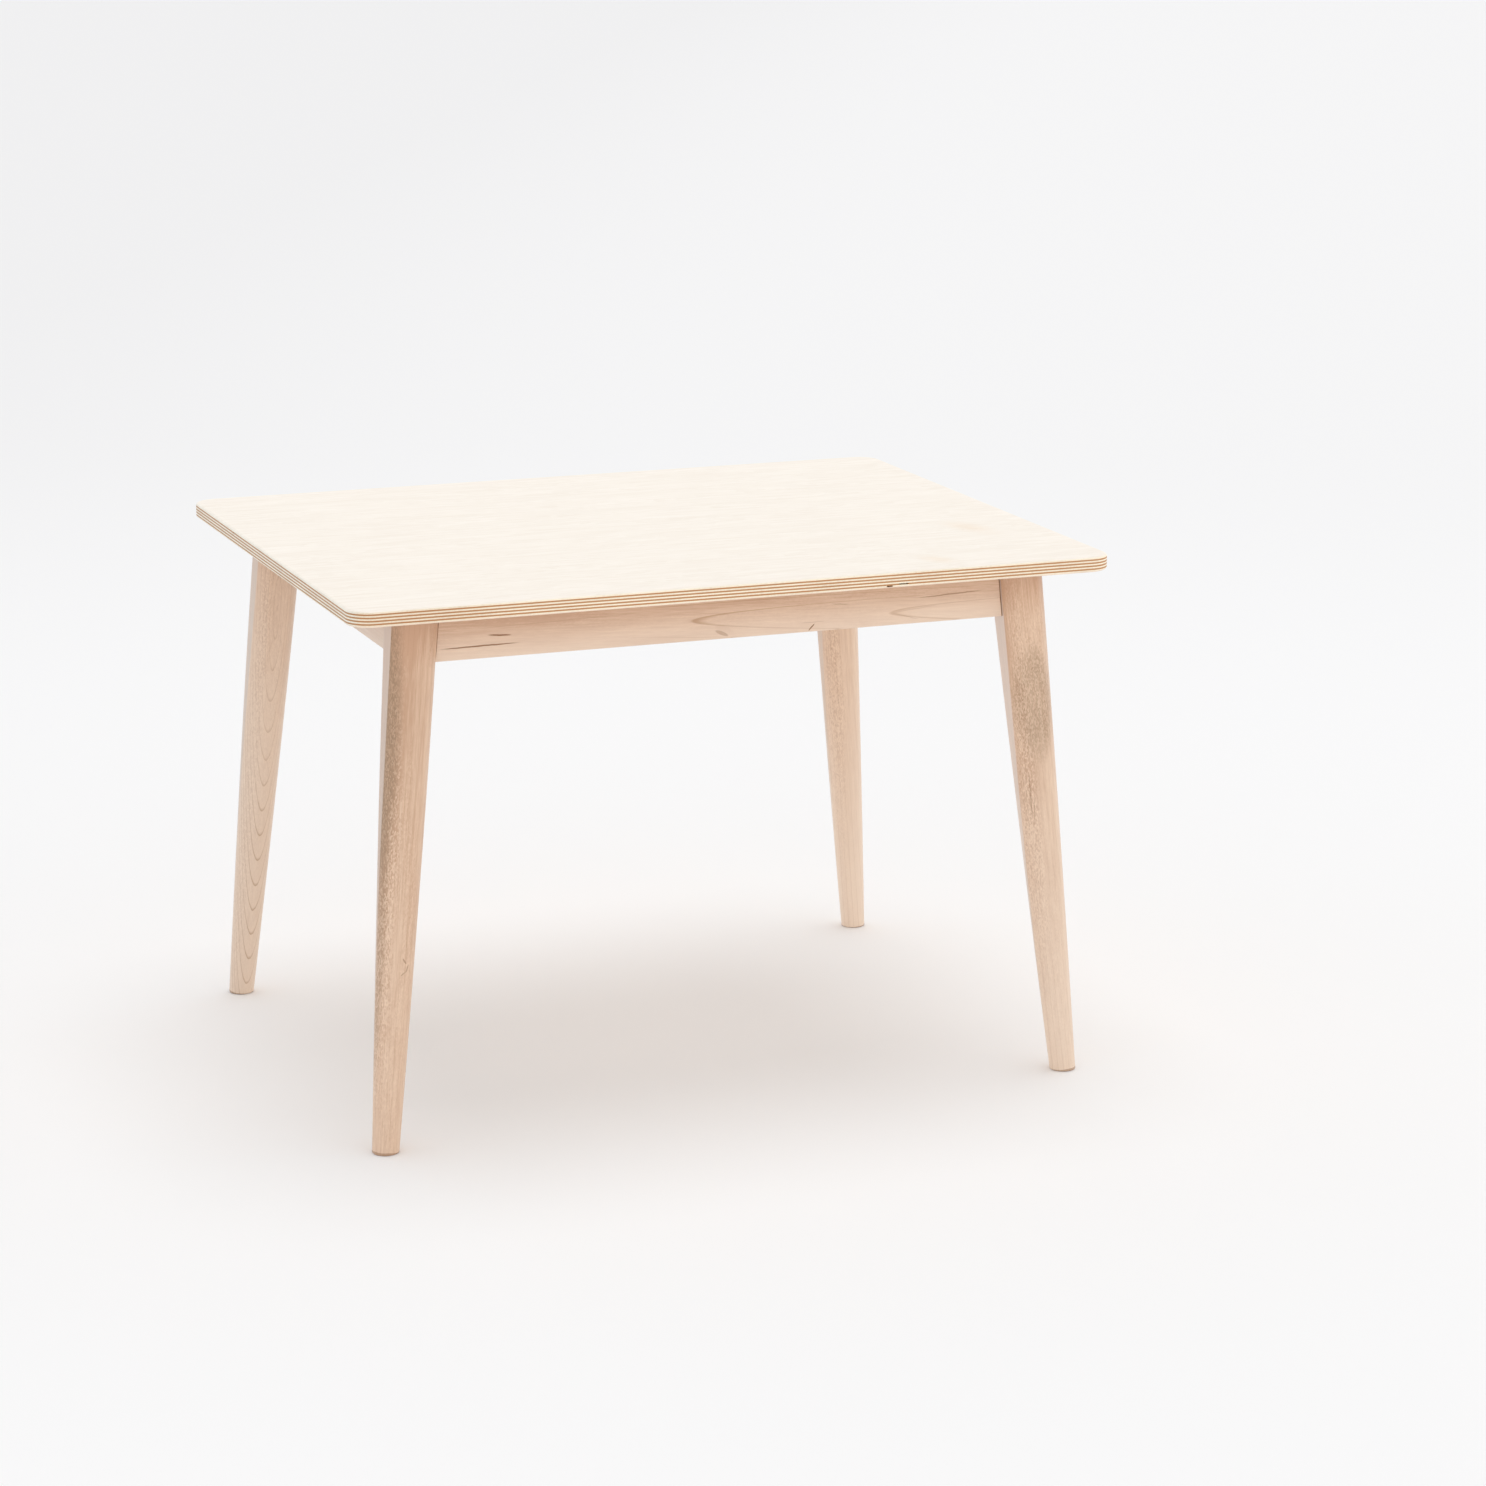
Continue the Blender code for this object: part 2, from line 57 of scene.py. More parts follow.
# The camera, aimed by its heading (from +Y towards +X) and its dip below level
CAMERA_PLACE = (-1.303187, -3.659106, 1.243963)
CAMERA_HEADING = 0.368532
CAMERA_DIP = 0.240280
CAMERA_ROLL = 0.001016
CAMERA_LENS = 98.911
CAMERA_SENSOR = 36.0

# Studio: walls of light all round, dimmer straight up and dimmer and cooler on the left, and one
# broad soft light overhead
LEFT_LIGHT = (0.92, 0.94, 0.97)
RIGHT_LIGHT = (1.08, 1.06, 1.03)
HORIZON_STRENGTH = 1.40
ZENITH_STRENGTH = 0.40
KEY_ENERGY = 0.275 * math.pi
KEY_SIZE = math.radians(44)
KEY_FROM_BACK = math.radians(3.5)
KEY_FROM_RIGHT = math.radians(4.5)
FLOOR_SIZE = 120.0
FLOOR_DROP = 0.0002
FLOOR_COLOUR = (0.95, 0.95, 0.955)
# Painted shade, for light falling off: the floor gets a little duller far behind the table and off to
# the left, about a line that slants off to the right. Each fade is (distance where it starts, distance
# where it ends, least, most).
FLOOR_SHADE_COLOUR = (0.870, 0.868, 0.874)
FLOOR_LINE_START = (0.34, 0, 0)
FLOOR_LINE_TURN = -0.487
SHADE_BEHIND = (0.8, 3.4, 0.0, 0.47)
SHADE_LEFT = (-0.4, -3.0, 0.0, 0.62)

# Plywood sheet: two thin face veneers and nine thicker plies between them
PLY_COUNT = 11
PLY_SEED = 11
FACE_VENEER = 0.00105
TOP_CORNER_RADIUS = 0.022
TOP_EDGE_ROUNDING = 0.003
TOP_CORNER_STEPS = 24
ROUNDING_STEP = math.radians(6)

# Legs: a turned taper, a little full in the middle, with four flats. They run from the foot mounts
# up to these heads under the sheet.
LEG_HEAD_X = 0.2955
LEG_HEAD_Y = 0.2295
LEG_HEAD_RADIUS = 0.0247
LEG_FOOT_RADIUS = 0.0124
LEG_SWELL = 0.0008
LEG_FLAT_AT_HEAD = 0.0215
LEG_FLAT_AT_FOOT = 0.0176
LEG_FOOT_EASING = 0.001
LEG_CREASE_EASING = 0.00010
LEG_CREASE_MARGIN = math.radians(0.9)
LEG_NARROWEST_FLAT = math.radians(3)
LEG_ROWS = 96
LEG_FLAT_COLUMNS = 7
LEG_ARC_COLUMNS = 9
LEG_EASING_ROWS = 4
LEVELLING_ROUNDS = 3

# Brackets, set back from the point where two aprons' inner faces meet
APRON_THICKNESS = 0.018
BRACKET_SETBACK = 0.023
BRACKET_THICKNESS = 0.0018
BRACKET_EDGE = 0.0002
BRACKET_SHARP_ANGLE = math.radians(40)
WELD_REACH = 0.00001

# Hanger bolts: from that point, inside the leg, out past the nut. The thread in the wood is coarser
# and cut deeper, to this share of the other thread's root.
BOLT_INSIDE = -0.020
BOLT_SHOULDER = 0.0105
BOLT_OUTSIDE = 0.036
BOLT_RADIUS = 0.003
BOLT_PITCH = 0.001
BOLT_THREAD_DEPTH = 0.61 * BOLT_PITCH
BOLT_WOOD_PITCH = 2.2 * BOLT_PITCH
BOLT_WOOD_ROOT = 0.8
BOLT_WOOD_ROWS_PER_TURN = 10
BOLT_POINT_RADIUS = 0.0004
BOLT_POINT_LENGTH = 0.003
BOLT_END_CHAMFER = 0.0004
BOLT_COLUMNS = 32
ROWS_PER_TURN = 8

# Washers, and nuts whose corners are turned off at both ends, to this many times half their width
WASHER_RADIUS = 0.008
WASHER_HOLE = 0.0033
WASHER_THICKNESS = 0.0015
WASHER_EDGE = 0.0003
WASHER_COLUMNS = 56

NUT_ACROSS_FLATS = 0.010
NUT_HEIGHT = 0.005
NUT_BORE_PLAY = 0.00005
NUT_BORE_CHAMFER = 0.0005
NUT_TURNED_OFF = 1.02
NUT_CHAMFER_ANGLE = math.radians(30)
NUT_CHAMFER_STEPS = (0.0, 0.33, 0.66, 1.0)
NUT_COLUMNS = 72

# Pan-head screws. A head is flat but for its dome, a rounded crown round the rim and a cross recess,
# whose arms slope up towards their reach and whose walls lean.
SCREW_HEAD_RADIUS = 0.0037
SCREW_HEAD_HEIGHT = 0.0026
SCREW_HEAD_CROWN = 0.0012
SCREW_HEAD_DOME = 0.00025
SCREW_RADIUS = 0.0018
SCREW_PITCH = 0.0018
SCREW_ROOT = 0.72 * SCREW_RADIUS
SCREW_NECK = 0.001
SCREW_POINT_RADIUS = 0.0002
SCREW_POINT_LENGTH = 0.003
SCREW_COLUMNS = 40
SCREW_TOP_ROWS = 14
SCREW_CROWN_ROWS = 6
RECESS_DEPTH = 0.0014
RECESS_REACH = 0.0020
RECESS_SLOPE = 0.0011
RECESS_HALF_WIDTH = 0.00058
RECESS_WALL = 0.00022
BRACKET_SCREW_ALONG = 0.0475
BRACKET_SCREW_RISE = 0.010
BRACKET_SCREW_LENGTH = 0.015
TOP_SCREW_LENGTH = 0.0445

# Every nut and screw stops at its own angle: the first one's, and the step on to the next
NUT_ANGLES = (0.35, 0.5)
BRACKET_SCREW_ANGLES = (0.3, 0.9)
TOP_SCREW_ANGLE_STEP = 0.7

CORNERS = {
    "front_left": (-1, -1),
    "front_right": (1, -1),
    "back_left": (-1, 1),
    "back_right": (1, 1),
}
SMOOTH_ANGLE = math.radians(32)

mounts = {mount["name"]: mount for mount in frame["record"]["mounts"]}
top_low, top_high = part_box("tabletop")
leg_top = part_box("leg_front_left")[1].z


# ---------------------------------------------------------------- shader graph helpers

class Graph:
    """Short forms for wiring one material's nodes."""

    def __init__(self, name):
        self.material = bpy.data.materials.new(name)
        self.material.use_nodes = True
        self.tree = self.material.node_tree
        self.shader = self.tree.nodes["Principled BSDF"]
        self.place = self.node("ShaderNodeTexCoord").outputs["Object"]

    def node(self, kind, **settings):
        made = self.tree.nodes.new(kind)
        for name, value in settings.items():
            setattr(made, name, value)
        return made

    def feed(self, socket, value):
        if isinstance(value, bpy.types.NodeSocket):
            self.tree.links.new(value, socket)
        else:
            socket.default_value = value

    def calc(self, operation, *values, clamp=False):
        made = self.node("ShaderNodeMath", operation=operation, use_clamp=clamp)
        for socket, value in zip(made.inputs, values):
            self.feed(socket, value)
        return made.outputs["Value"]

    def seen_from(self, place, origin, turn=(0, 0, 0), scale=(1, 1, 1)):
        """The place as measured from an origin, along turned axes, in units of the scale."""
        made = self.node("ShaderNodeMapping", vector_type="TEXTURE")
        self.feed(made.inputs["Vector"], place)
        made.inputs["Location"].default_value = origin
        made.inputs["Rotation"].default_value = turn
        made.inputs["Scale"].default_value = scale
        return made.outputs["Vector"]

    def noise(self, place, scale, detail=2.0, roughness=0.5, distortion=0.0):
        made = self.node("ShaderNodeTexNoise")
        self.feed(made.inputs["Vector"], place)
        made.inputs["Scale"].default_value = scale
        made.inputs["Detail"].default_value = detail
        made.inputs["Roughness"].default_value = roughness
        made.inputs["Distortion"].default_value = distortion
        return made.outputs["Fac"]

    def cells(self, place, scale, output="Color"):
        made = self.node("ShaderNodeTexVoronoi")
        self.feed(made.inputs["Vector"], place)
        made.inputs["Scale"].default_value = scale
        return made.outputs[output]

    def fade(self, value, start, end, low=0.0, high=1.0):
        """A smooth step from low, where value is at start, to high, where it is at end."""
        made = self.node("ShaderNodeMapRange", interpolation_type="SMOOTHSTEP")
        self.feed(made.inputs["Value"], value)
        made.inputs["From Min"].default_value = start
        made.inputs["From Max"].default_value = end
        made.inputs["To Min"].default_value = low
        made.inputs["To Max"].default_value = high
        return made.outputs["Result"]

    def mix(self, factor, first, second, blend="MIX"):
        made = self.node("ShaderNodeMix", data_type="RGBA", blend_type=blend)
        self.feed(made.inputs["Factor"], factor)
        for name, value in (("A", first), ("B", second)):
            socket = next(s for s in made.inputs if s.name == name and s.type == "RGBA")
            self.feed(socket, value if isinstance(value, bpy.types.NodeSocket) else (*value, 1))
        return next(s for s in made.outputs if s.type == "RGBA")

    def total(self, *terms):
        """The sum of (socket, weight) terms, each taken about its own middle, one half."""
        result = 0.0
        for socket, weight in terms:
            centred = self.calc("SUBTRACT", socket, 0.5)
            result = self.calc("MULTIPLY_ADD", centred, weight, result)
        return result

    def axes(self, place):
        """The X, Y and Z of a place."""
        made = self.node("ShaderNodeSeparateXYZ")
        self.feed(made.inputs[0], place)
        return made.outputs["X"], made.outputs["Y"], made.outputs["Z"]

    def length(self, place):
        made = self.node("ShaderNodeVectorMath", operation="LENGTH")
        self.feed(made.inputs[0], place)
        return made.outputs["Value"]

    def finish(self, colour, roughness, height, depth):
        """Wire up the shader, with bumps as deep as the depth where the height goes from 0 to 1."""
        self.feed(self.shader.inputs["Base Color"], colour)
        self.feed(self.shader.inputs["Roughness"], roughness)
        bump = self.node("ShaderNodeBump")
        bump.inputs["Strength"].default_value = 1.0
        bump.inputs["Distance"].default_value = depth
        self.feed(bump.inputs["Height"], height)
        self.feed(self.shader.inputs["Normal"], bump.outputs["Normal"])
        return self.material


def along_euler(direction):
    """Rotation that turns +Z onto the direction."""
    return tuple(Vector(direction).to_track_quat("Z", "Y").to_euler())


# ---------------------------------------------------------------- wood

MAPLE_LIGHT = (0.83, 0.60, 0.43)
MAPLE_DARK = (0.58, 0.35, 0.22)
# Painted light for the lower parts of legs and aprons
MAPLE_LIT_PALE = (0.90, 0.74, 0.60)
MAPLE_LINE = (0.39, 0.19, 0.065)
# Dark streaks, and painted shade in joints and at the feet
MARK_AND_SHADE_BROWN = (0.28, 0.13, 0.05)
BLOTCH_BROWN = (0.34, 0.208, 0.115)
# Painted sheen and shade for the legs' left flats
SIDE_SHEEN_PALE = (0.78, 0.67, 0.60)
SIDE_SHADE_AND_SHEEN_GREY = (0.58, 0.49, 0.425)
# Painted shade, greying the left apron and the back left leg
PAINTED_SHADE_GREY = (0.20, 0.17, 0.15)
LACQUER = 0.35
LACQUER_ROUGHNESS = 0.22
MAPLE_BUMP = 0.00004
# Grain, in noise cells to the metre across it, and how many times longer it is along it
SLOW_LENGTH = 9
RING_DRIFT = 28
RING_PATCHES = 16
BROAD_SHADES = 40
FLECK_ZONES = 60
FIBRES, FIBRE_LENGTH = 850, 14
STREAKS, STREAK_LENGTH = 400, 30
FLECKS, FLECK_LENGTH = 1150, 2.6
# A ring's dark line ends at this share of its spacing, and its lines fade in over this distance
RING_LINE_END = 0.98
LINED_BLUR = 0.03
# A leg's left flat gets a painted sheen and shade between these two X, behind the crease at its front
# edge. The crease is a line: its Y at the foot and the change going up.
SIDE_SHEEN_START, SIDE_SHEEN_FULL = -0.008, -0.012
SIDE_CREASE = (0.0062, -0.0375)
CREASE_BLUR = 0.0006
# The edge of a patch wanders by half of this either way
PATCH_WOBBLE = 0.001
PATCH_WOBBLES = 120
PATCH_DEPTH = 10.0


def maple(name, pith, direction, spacing, paler, lines=0.35, width=0.18, lined_from=None,
          wander=0.8, flecks=0.3, tone=0.0, painted_shade=0.0, side_sheen_and_shade=None, marks_and_shade=(), blotches=(),
          tints=(), flecked=(), matrix=Matrix()):
    """Pale hard maple, solid through the piece: rings about a pith line, fibres and ray flecks.

    The pith is a point and a direction in the piece's own coordinates, which the matrix places.
    The rings' lines take up a share of the spacing, their width, and show from lined_from on in X.
    Tone deepens the whole piece, a painted shade greys it, and the left flat gets a painted sheen and
    shade, as (colour, strength).
    Paler is (low, high, strength): painted light, paler from the high level down to the low one, for
    the shade under the sheet and the light lower down.
    Each patch is (centre, turn about Y, half sizes, strength). Marks are dark streaks and painted shade
    in joints and at the feet, blotches are wide grey-brown stains on the front, tints are deeper wood,
    or paler where the strength is negative, some of them painted shade under the sheet, and flecked
    patches are full of ray flecks.
    """
    graph = Graph(name)
    graph.place = graph.seen_from(graph.place, matrix.translation, matrix.to_euler())
    grain = graph.seen_from(graph.place, pith, along_euler(direction))
    slow = graph.seen_from(grain, (0, 0, 0), scale=(1, 1, SLOW_LENGTH))
    drift = graph.calc("SUBTRACT", graph.noise(slow, RING_DRIFT, detail=3), 0.5)
    off_x, off_y, _ = graph.axes(grain)
    across = graph.calc("POWER", off_x, 2.0)
    across = graph.calc("MULTIPLY_ADD", off_y, off_y, across)
    radius = graph.calc("SQRT", across)
    rings = graph.calc("DIVIDE", radius, spacing)
    rings = graph.calc("MULTIPLY_ADD", drift, wander, rings)
    phase = graph.calc("FRACT", rings)
    late = graph.fade(phase, RING_LINE_END - width, RING_LINE_END)
    sharp = graph.fade(phase, RING_LINE_END, 1.0, 1.0, 0.0)
    line = graph.calc("MULTIPLY", late, sharp)
    patchy = graph.fade(graph.noise(slow, RING_PATCHES, detail=2), 0.35, 0.65, 0.40, 1.0)
    line = graph.calc("MULTIPLY", line, patchy)
    here_x, here_y, here_z = graph.axes(graph.place)
    if lined_from is not None:
        shown = graph.fade(here_x, lined_from - LINED_BLUR, lined_from + LINED_BLUR)
        line = graph.calc("MULTIPLY", line, shown)

    fibre_place = graph.seen_from(grain, (0, 0, 0), scale=(1, 1, FIBRE_LENGTH))
    fibre = graph.noise(fibre_place, FIBRES, detail=3, roughness=0.65)
    streak_place = graph.seen_from(grain, (0, 0, 0), scale=(1, 1, STREAK_LENGTH))
    streak = graph.noise(streak_place, STREAKS, detail=3, roughness=0.6)
    broad = graph.noise(slow, BROAD_SHADES, detail=2)
    fleck_place = graph.seen_from(grain, (0, 0, 0), scale=(1, 1, FLECK_LENGTH))
    every_fleck = graph.cells(fleck_place, FLECKS)
    fleck_fade = graph.fade(graph.noise(slow, FLECK_ZONES, detail=1), 0.40, 0.62)
    fleck = graph.mix(fleck_fade, (0.5, 0.5, 0.5), every_fleck)

    shade = graph.total((broad, 0.75), (streak, 1.1), (fibre, 0.95), (fleck, flecks))
    shade = graph.calc("ADD", shade, 0.30 + tone, clamp=True)
    # Deeper or paler wood, and painted shade under the sheet
    for tint in tints:
        shade = graph.calc("ADD", shade, patch(graph, tint, 0.0), clamp=True)
    for zone in flecked:
        spread = graph.calc("SUBTRACT", every_fleck, 0.5)
        shade = graph.calc("MULTIPLY_ADD", spread, patch(graph, zone, 0.2), shade, clamp=True)
    colour = graph.mix(shade, MAPLE_LIGHT, MAPLE_DARK)
    # Painted light lower down, painted shade up under the sheet
    low, high, strength = paler
    colour = graph.mix(graph.fade(here_z, low, high, strength, 0.0), colour, MAPLE_LIT_PALE)
    colour = graph.mix(graph.calc("MULTIPLY", line, lines), colour, MAPLE_LINE)
    crease = graph.calc("MULTIPLY_ADD", here_z, SIDE_CREASE[1], SIDE_CREASE[0])
    behind = graph.calc("SUBTRACT", here_y, crease)
    # Painted sheen and shade on the left flat
    if side_sheen_and_shade:
        left = graph.fade(here_x, SIDE_SHEEN_START, SIDE_SHEEN_FULL, 0.0, side_sheen_and_shade[1])
        left = graph.calc("MULTIPLY", left, graph.fade(behind, 0.0, CREASE_BLUR))
        colour = graph.mix(left, colour, side_sheen_and_shade[0])
    front = graph.fade(behind, CREASE_BLUR, 0.0)
    speckle = graph.fade(every_fleck, 0.30, 0.75, 0.60, 1.25)
    for blotch in blotches:
        stain = graph.calc("MULTIPLY", front, patch(graph, blotch, 0.45))
        stain = graph.calc("MULTIPLY", stain, speckle)
        colour = graph.mix(stain, colour, BLOTCH_BROWN)
    # Dark streaks, and painted shade in joints and at the feet
    for mark in marks_and_shade:
        colour = graph.mix(patch(graph, mark, 0.70), colour, MARK_AND_SHADE_BROWN)
    # Painted shade greys the piece
    colour = graph.mix(painted_shade, colour, PAINTED_SHADE_GREY)
    roughness = graph.fade(streak, 0.3, 0.7, 0.38, 0.48)
    graph.shader.inputs["Coat Weight"].default_value = LACQUER
    graph.shader.inputs["Coat Roughness"].default_value = LACQUER_ROUGHNESS
    return graph.finish(colour, roughness, fibre, MAPLE_BUMP)


def patch(graph, shape, core):
    """A patch's strength inside its ellipse, seen along Y, fading to the rim from the core share on."""
    (centre_x, centre_z), turn, (wide, tall), strength = shape
    wobble = graph.node("ShaderNodeTexNoise")
    graph.feed(wobble.inputs["Vector"], graph.place)
    wobble.inputs["Scale"].default_value = PATCH_WOBBLES
    moved = graph.node("ShaderNodeVectorMath", operation="MULTIPLY_ADD")
    graph.feed(moved.inputs[0], wobble.outputs["Color"])
    moved.inputs[1].default_value = (PATCH_WOBBLE, PATCH_WOBBLE, PATCH_WOBBLE)
    graph.feed(moved.inputs[2], graph.place)
    middle = Vector((centre_x + PATCH_WOBBLE / 2, 0, centre_z + PATCH_WOBBLE / 2))
    local = graph.seen_from(moved.outputs[0], middle, (0, turn, 0), (wide, PATCH_DEPTH, tall))
    return graph.fade(graph.length(local), core, 1.0, strength, 0.0)


BIRCH_TOP = (0.97, 0.90, 0.81), (0.84, 0.75, 0.64)
BIRCH_UNDERSIDE = (0.95, 0.77, 0.61), (0.83, 0.63, 0.47)
STAIN = (0.86, 0.66, 0.45)
TOP_SPOTS = [
    ((0.298, -0.120), 0.2, (0.025, 0.055), 0.6),
    ((0.205, -0.252), 0.3, (0.020, 0.035), 0.5),
]
SPOT_DEPTH = 1000
BIRCH_FIGURE, BIRCH_FIGURE_LENGTH = 34, 7
BIRCH_BANDS = 9.0
BIRCH_FIBRES, BIRCH_FIBRE_LENGTH = 900, 40
BIRCH_STREAKS, BIRCH_STREAK_LENGTH = 260, 26
BIRCH_BUMP = 0.00002


def birch_face(name, light, dark, spots=()):
    """One of the sheet's face veneers, with faint wavy figure along its length.

    Spots are faintly stained patches: (centre, turn about Z, half sizes, strength).
    """
    graph = Graph(name)
    figure_place = graph.seen_from(graph.place, (0, 0, 0), scale=(BIRCH_FIGURE_LENGTH, 1, 1))
    figure = graph.noise(figure_place, BIRCH_FIGURE, detail=5, roughness=0.62, distortion=0.6)
    bands = graph.calc("FRACT", graph.calc("MULTIPLY", figure, BIRCH_BANDS))
    bands = graph.fade(bands, 0.0, 1.0)
    fibre_place = graph.seen_from(graph.place, (0, 0, 0), scale=(BIRCH_FIBRE_LENGTH, 1, 1))
    fibre = graph.noise(fibre_place, BIRCH_FIBRES, detail=3, roughness=0.6)
    streak_place = graph.seen_from(graph.place, (0, 0, 0), scale=(BIRCH_STREAK_LENGTH, 1, 1))
    streak = graph.noise(streak_place, BIRCH_STREAKS, detail=2)
    shade = graph.total((bands, 0.35), (fibre, 0.35), (streak, 0.80))
    shade = graph.calc("ADD", shade, 0.26, clamp=True)
    colour = graph.mix(shade, light, dark)
    for centre, turn, half_sizes, strength in spots:
        local = graph.seen_from(graph.place, (*centre, 0), (0, 0, turn), (*half_sizes, SPOT_DEPTH))
        inside = graph.fade(graph.length(local), 0.0, 1.0, strength, 0.0)
        colour = graph.mix(graph.calc("MULTIPLY", figure, inside), colour, STAIN)
    roughness = graph.fade(streak, 0.3, 0.7, 0.36, 0.44)
    return graph.finish(colour, roughness, fibre, BIRCH_BUMP)


PLY_LIGHT = (1.0, 0.89, 0.70)
PLY_DARK = (0.54, 0.25, 0.09)
PLY_SHADE = (0.34, 0.18, 0.08)
PLY_BARS = 420
PLY_DRIFT = 22
PLY_PORES = 2600
PLY_BUMP = 0.00003
# Painted shade on the edge: a little darker from the first X to the second, going left, and greyer
# round the corner, on the left side
PLY_FRONT_SHADE = (0.92, 0.89, 0.87)
PLY_LEFT_SHADE = (0.87, 0.93, 1.02)
PLY_SHADED_SPAN = (-0.20, -0.30)
PLY_GREY_SHADED_SPAN = (-0.358, -0.367)


def birch_ply(name, colour, seed):
    """An inner ply: cut fibres show as fine flecks and short bars along the sheet's edge."""
    graph = Graph(name)
    place = graph.seen_from(graph.place, (seed, seed, 0))
    bars = graph.noise(place, PLY_BARS, detail=3, roughness=0.7)
    drift = graph.noise(place, PLY_DRIFT, detail=2)
    pores = graph.cells(place, PLY_PORES, output="Distance")
    pores = graph.fade(pores, 0.10, 0.30, 1.0, 0.0)
    shade = graph.total((bars, 0.55), (drift, 0.5))
    shade = graph.calc("ADD", shade, 0.05, clamp=True)
    shade = graph.calc("MULTIPLY_ADD", pores, 0.12, shade, clamp=True)
    mixed = graph.mix(shade, colour, PLY_SHADE)
    here_x = graph.axes(graph.place)[0]
    # Painted shade at the edge's left end and on its left side
    tone = graph.mix(graph.fade(here_x, *PLY_GREY_SHADED_SPAN), PLY_FRONT_SHADE, PLY_LEFT_SHADE)
    tone = graph.mix(graph.fade(here_x, *PLY_SHADED_SPAN), (1, 1, 1), tone)
    mixed = graph.mix(1.0, mixed, tone, blend="MULTIPLY")
    return graph.finish(mixed, 0.5, bars, PLY_BUMP)


# ---------------------------------------------------------------- steel

STEEL_CLOUDS = 260
STEEL_PITS = 1500
HAIRLINES, HAIRLINE_LENGTH = 2400, 30
STEEL_SHADE = 0.62
STEEL_DULLER = 0.16
STEEL_BUMP = 0.000015


def plated(name, colour, roughness, brushed):
    """Bright plated steel with cloudy patches, fine pitting and hairlines brushed along an angle."""
    graph = Graph(name)
    cloud = graph.noise(graph.place, STEEL_CLOUDS, detail=4, roughness=0.6)
    grain = graph.cells(graph.place, STEEL_PITS)
    hairline_place = graph.seen_from(graph.place, (0, 0, 0), (0, 0, brushed), (HAIRLINE_LENGTH, 1, 1))
    hairline = graph.noise(hairline_place, HAIRLINES, detail=2)
    shade = graph.total((cloud, 0.35), (grain, 0.12), (hairline, 0.4))
    shade = graph.calc("ADD", shade, 0.25, clamp=True)
    mixed = graph.mix(shade, colour, tuple(STEEL_SHADE * channel for channel in colour))
    graph.shader.inputs["Metallic"].default_value = 1.0
    rough = graph.fade(shade, 0.1, 0.6, roughness, roughness + STEEL_DULLER)
    return graph.finish(mixed, rough, hairline, STEEL_BUMP)


# ---------------------------------------------------------------- mesh helpers

def join_rings(bm, rings):
    """Faces between each ring and the next."""
    for lower, upper in zip(rings, rings[1:]):
        for index in range(len(lower)):
            following = (index + 1) % len(lower)
            bm.faces.new((lower[index], lower[following], upper[following], upper[index]))


def tube(rows, matrix=Matrix()):
    """A closed tube with flat end faces, from rings of points given bottom to top."""
    bm = bmesh.new()
    rings = [[bm.verts.new(point) for point in row] for row in rows]
    join_rings(bm, rings)
    bm.faces.new(rings[0][::-1])
    bm.faces.new(rings[-1])
    bmesh.ops.transform(bm, matrix=matrix, verts=bm.verts)
    return bm


def ring_shape(rows):
    """A closed ring, from loops of points given round its section."""
    bm = bmesh.new()
    rings = [[bm.verts.new(point) for point in row] for row in rows]
    join_rings(bm, rings + rings[:1])
    return bm


def finished_mesh(name, bm, material):
    bmesh.ops.recalc_face_normals(bm, faces=bm.faces)
    mesh = bpy.data.meshes.new(name)
    bm.to_mesh(mesh)
    bm.free()
    mesh.shade_smooth()
    mesh.set_sharp_from_angle(angle=SMOOTH_ANGLE)
    mesh.materials.append(material)
    return mesh


def place_piece(name, mesh, nodes, matrix=Matrix()):
    """A finished piece that rides on the table's body and stands for the CAD nodes."""
    obj = bpy.data.objects.new(name, mesh)
    bpy.context.scene.collection.objects.link(obj)
    obj.matrix_world = matrix
    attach(obj, "root")
    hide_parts(*nodes)
    return obj


# ---------------------------------------------------------------- tabletop

def edge_inset(height):
    """How far the sheet's eased edge draws in at a height above the floor."""
    to_face = min(height - top_low.z, top_high.z - height)
    short = max(0.0, TOP_EDGE_ROUNDING - to_face)
    return TOP_EDGE_ROUNDING - math.sqrt(max(0.0, TOP_EDGE_ROUNDING ** 2 - short ** 2))


def ply_heights(low, high):
    """Heights of a ply's rings of points: close together where the edge is rounded."""
    heights = {low, high}
    quarter = int(round(math.pi / 2 / ROUNDING_STEP))
    for step in range(quarter + 1):
        drop = TOP_EDGE_ROUNDING * (1 - math.sin(step * ROUNDING_STEP))
        for height in (top_low.z + drop, top_high.z - drop):
            if low < height < high:
                heights.add(height)
    return sorted(heights)


# Gaps in the inner plies, by ply: (side, centre along it, length, depth)
PLY_POCKETS = {
    3: (("left", 0.121, 0.005, 0.0015), ("back", -0.204, 0.006, 0.002)),
    5: (("right", -0.083, 0.006, 0.002),),
    6: (("back", 0.092, 0.004, 0.0015),),
    9: (("front", 0.1543, 0.0095, 0.008), ("right", 0.141, 0.005, 0.002)),
    10: (("front", 0.1404, 0.006, 0.007),),
}
# A gap's outline: (share of its length from its centre, share of its depth)
POCKET_OUTLINE = ((-0.5, 0), (-0.42, 0.7), (-0.1, 1), (0.25, 0.6), (0.45, 0.8), (0.5, 0))


